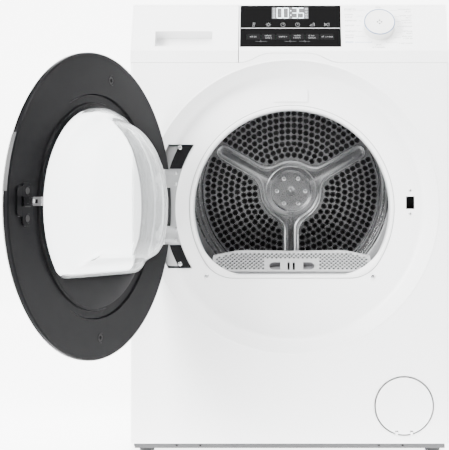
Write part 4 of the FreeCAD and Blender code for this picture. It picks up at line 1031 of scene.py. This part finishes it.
knob = {
    "body": [(29, 0.6), (29, 3.6), (28.2, 4.2), (28.3, 17.5), (28.7, 18.3)],
    "rim": [(28.7, 18.3), (29, 18.9), (28.9, 19.6), (28.3, 20), (27.6, 19.9), (27.3, 19.3)],
    "face": [(27.3, 19.3), (26.6, 19.1), (20, 18.8), (0.3, 18.5)],
    "leftLabels": ((94, 105, 124), (82.2, 105, 121), (76.3, 105, 119), (67.9, 105, 127), (57, 105, 122),
                   (43.7, 105, 126), (34.6, 105, 122), (29.6, 105, 121)),
    "leftLines": ((92.3, 127.9, 143), (78.5, 125.5, 139.5), (67.4, 131.4, 136), (56.5, 125.7, 133.5),
                  (43.2, 128.8, 136.3), (32.1, 124.4, 142.2)),
    "rightLabels": ((94, 206, 230), (88.9, 219, 230), (79.7, 209, 231), (74.6, 220, 231), (68.8, 212, 231),
                    (63.4, 213, 231), (55, 213, 231), (43.7, 213, 231), (38.8, 220, 231), (32.1, 212, 231),
                    (27.2, 214, 231), (16.5, 206, 232)),
    "rightLines": ((92, 190, 203.8), (77.6, 198.4, 207.4), (66.2, 201.5, 210.4), (54.9, 202.4, 212),
                   (41.6, 200.6, 210.8), (29.6, 196, 208.3), (18.6, 181.3, 202.4)),
    # above and below the knob
    "extraLabels": ((99.1, 163.3, 173.6), (12.7, 162.1, 172.3), (7.4, 155.1, 179.6)),
    "blueUp": 18.6,
    "frameUp": 93.6,              # the label with a frame round it
    "printTall": 2.4,
    "printFace": 0.0,
    "markMiddle": (168.4, 52), "markSpread": 3.7, "markSize": 1.9,
}


def buildKnob():
    place = Matrix(((1, 0, 0, knobMiddle.x), (0, slopeOut.y, slopeUp.y, knobMiddle.y),
                    (0, slopeOut.z, slopeUp.z, knobMiddle.z), (0, 0, 0, 1)))
    body = inMetres(knob["body"] + knob["rim"][-1:] + knob["face"] + [(0.3, 0.6)])
    grip = loftPiece("knob_body", body, "selector", "knob_grey", 120, place)
    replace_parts(grip, "programme_knob")
    loftPiece("knob_rim", inMetres(knob["rim"]), "selector", "knob_grey", 120, place, knobRingBlue)
    x, y = knob["markMiddle"]
    spread, size = knob["markSpread"], knob["markSize"]
    parts = []
    for i, (dx, dy) in enumerate(((0, spread), (spread, 0), (0, -spread), (-spread, 0))):
        diamond = [((x + dx + a) * mm, (y + dy + b) * mm) for a, b in
                   ((size, 0), (0, size), (-size, 0), (0, -size))]
        parts.append(slabPiece(f"knob_mark_{i}", diamond, 18.45 * mm, 18.8 * mm, onSlope, "selector",
                               "knob_grey", inkGrey))
    joined("knob_mark", *parts)


def buildProgrammePrint():
    rng = random.Random(5)
    tall, face, blueUp = knob["printTall"], knob["printFace"], knob["blueUp"]
    words = []
    for y, a, b in knob["leftLabels"] + knob["rightLabels"] + knob["extraLabels"]:
        words += letterMarks(rng, a, b, y, tall)
    slopePrint("programme_words", words, 0.42, face, inkGrey, slotName="white_plastic")
    lines = [[(a, y), (b, y)] for y, a, b in knob["leftLines"] + knob["rightLines"]]
    lines += [[(181.3, blueUp), (181.3, blueUp + 1.8)], ringLine(114.5, 94, 0.2, 0, 360, 6)]
    outline = [p for x, start in ((107, 90), (122.5, -90))
               for p in arcPoints((x, knob["frameUp"]), 3.2, start, start + 180, 8)]
    lines.append(outline + outline[:1])
    slopePrint("programme_lines", lines, 0.4, face, inkPale, slotName="white_plastic")
    blue = letterMarks(rng, 105, 121, blueUp + 0.3, tall) + [[(122.7, blueUp), (154.1, blueUp)]]
    slopePrint("programme_blue", blue, 0.6, face, inkBlue, slotName="white_plastic")
    tick = [[(154.3, blueUp), (154.3, blueUp + 2.4)]]
    slopePrint("programme_tick", tick, 0.5, face, inkGrey, slotName="white_plastic")


buildKnob()
buildProgrammePrint()
print("stage: display, knob and printing")


# camera, light and ground

view = {"place": (-5 * mm, -2.9, 456 * mm), "sensor": 36, "lens": 111.62, "shiftX": -0.1392,
        "shiftY": -0.0356}
studio = {
    "halfWidth": 7, "front": -6, "sweepStart": -0.46, "bend": 3.2, "bendRadius": 1.2, "top": 6,
    "bendSteps": 12,
    "paper": (0.93, 0.93, 0.93), "glow": 4.6, "sky": 0.36,
    # place, target, size and power of every soft box
    "lights": {
        "left_softbox": ((-2.3, -2.6, 2.1), (0, 0, 0.5), (1.6, 1.8), 500),
        "top_softbox": ((0.4, -1.6, 3.1), (0, -0.2, 0.5), (2.4, 1.4), 210),
        "right_softbox": ((2.6, -2.2, 1.2), (0, 0, 0.5), (1.2, 1.8), 60),
    },
}


def groundPiece(name, line, finish):
    half = studio["halfWidth"]
    verts = [(x, y, z) for y, z in line for x in (-half, half)]
    faces = [(2 * i, 2 * i + 1, 2 * i + 3, 2 * i + 2) for i in range(len(line) - 1)]
    mesh = bpy.data.meshes.new(name)
    mesh.from_pydata(verts, [], faces)
    mesh.shade_smooth()
    floor = bpy.data.objects.new(name, mesh)
    bpy.context.scene.collection.objects.link(floor)
    mesh.materials.append(finish)


def addGround():
    # a plain apron in front, and a lit paper sweep behind the machine
    start, bend, radius = (studio[key] for key in ("sweepStart", "bend", "bendRadius"))
    steps, paper = studio["bendSteps"], studio["paper"]
    angles = [pi / 2 * i / steps for i in range(steps + 1)]
    arc = [(bend + radius * math.sin(angle), radius - radius * math.cos(angle)) for angle in angles]
    groundPiece("studio_floor", [(studio["front"], 0), (start, 0)],
                surface("studioFloor", paper, 0.85, mottle=0.004, mottleScale=2))
    groundPiece("studio_sweep", [(start, 0)] + arc + [(bend + radius, studio["top"])],
                glowing("studioPaper", paper, studio["glow"]))


def addLight(name, place, target, size, power):
    lamp = bpy.data.lights.new(name, "AREA")
    lamp.shape = "RECTANGLE"
    lamp.size, lamp.size_y = size
    lamp.energy = power
    holder = bpy.data.objects.new(name, lamp)
    bpy.context.scene.collection.objects.link(holder)
    holder.location = place
    holder.rotation_euler = (Vector(target) - Vector(place)).to_track_quat("-Z", "Y").to_euler()


def addCamera():
    lens = bpy.data.cameras.new("front_view")
    lens.sensor_fit = "HORIZONTAL"
    lens.sensor_width = view["sensor"]
    lens.lens = view["lens"]
    lens.shift_x, lens.shift_y = view["shiftX"], view["shiftY"]
    lens.clip_end = 40
    camera = bpy.data.objects.new("front_view", lens)
    bpy.context.scene.collection.objects.link(camera)
    camera.location = view["place"]
    camera.rotation_euler = (pi / 2, 0, 0)
    bpy.context.scene.camera = camera


def addWorld():
    world = bpy.data.worlds.new("studio")
    world.use_nodes = True
    sky = world.node_tree.nodes["Background"]
    sky.inputs["Color"].default_value = (1, 1, 1, 1)
    sky.inputs["Strength"].default_value = studio["sky"]
    bpy.context.scene.world = world


addGround()
for lightName, setting in studio["lights"].items():
    addLight(lightName, *setting)
addCamera()
addWorld()
print("stage: camera and light")
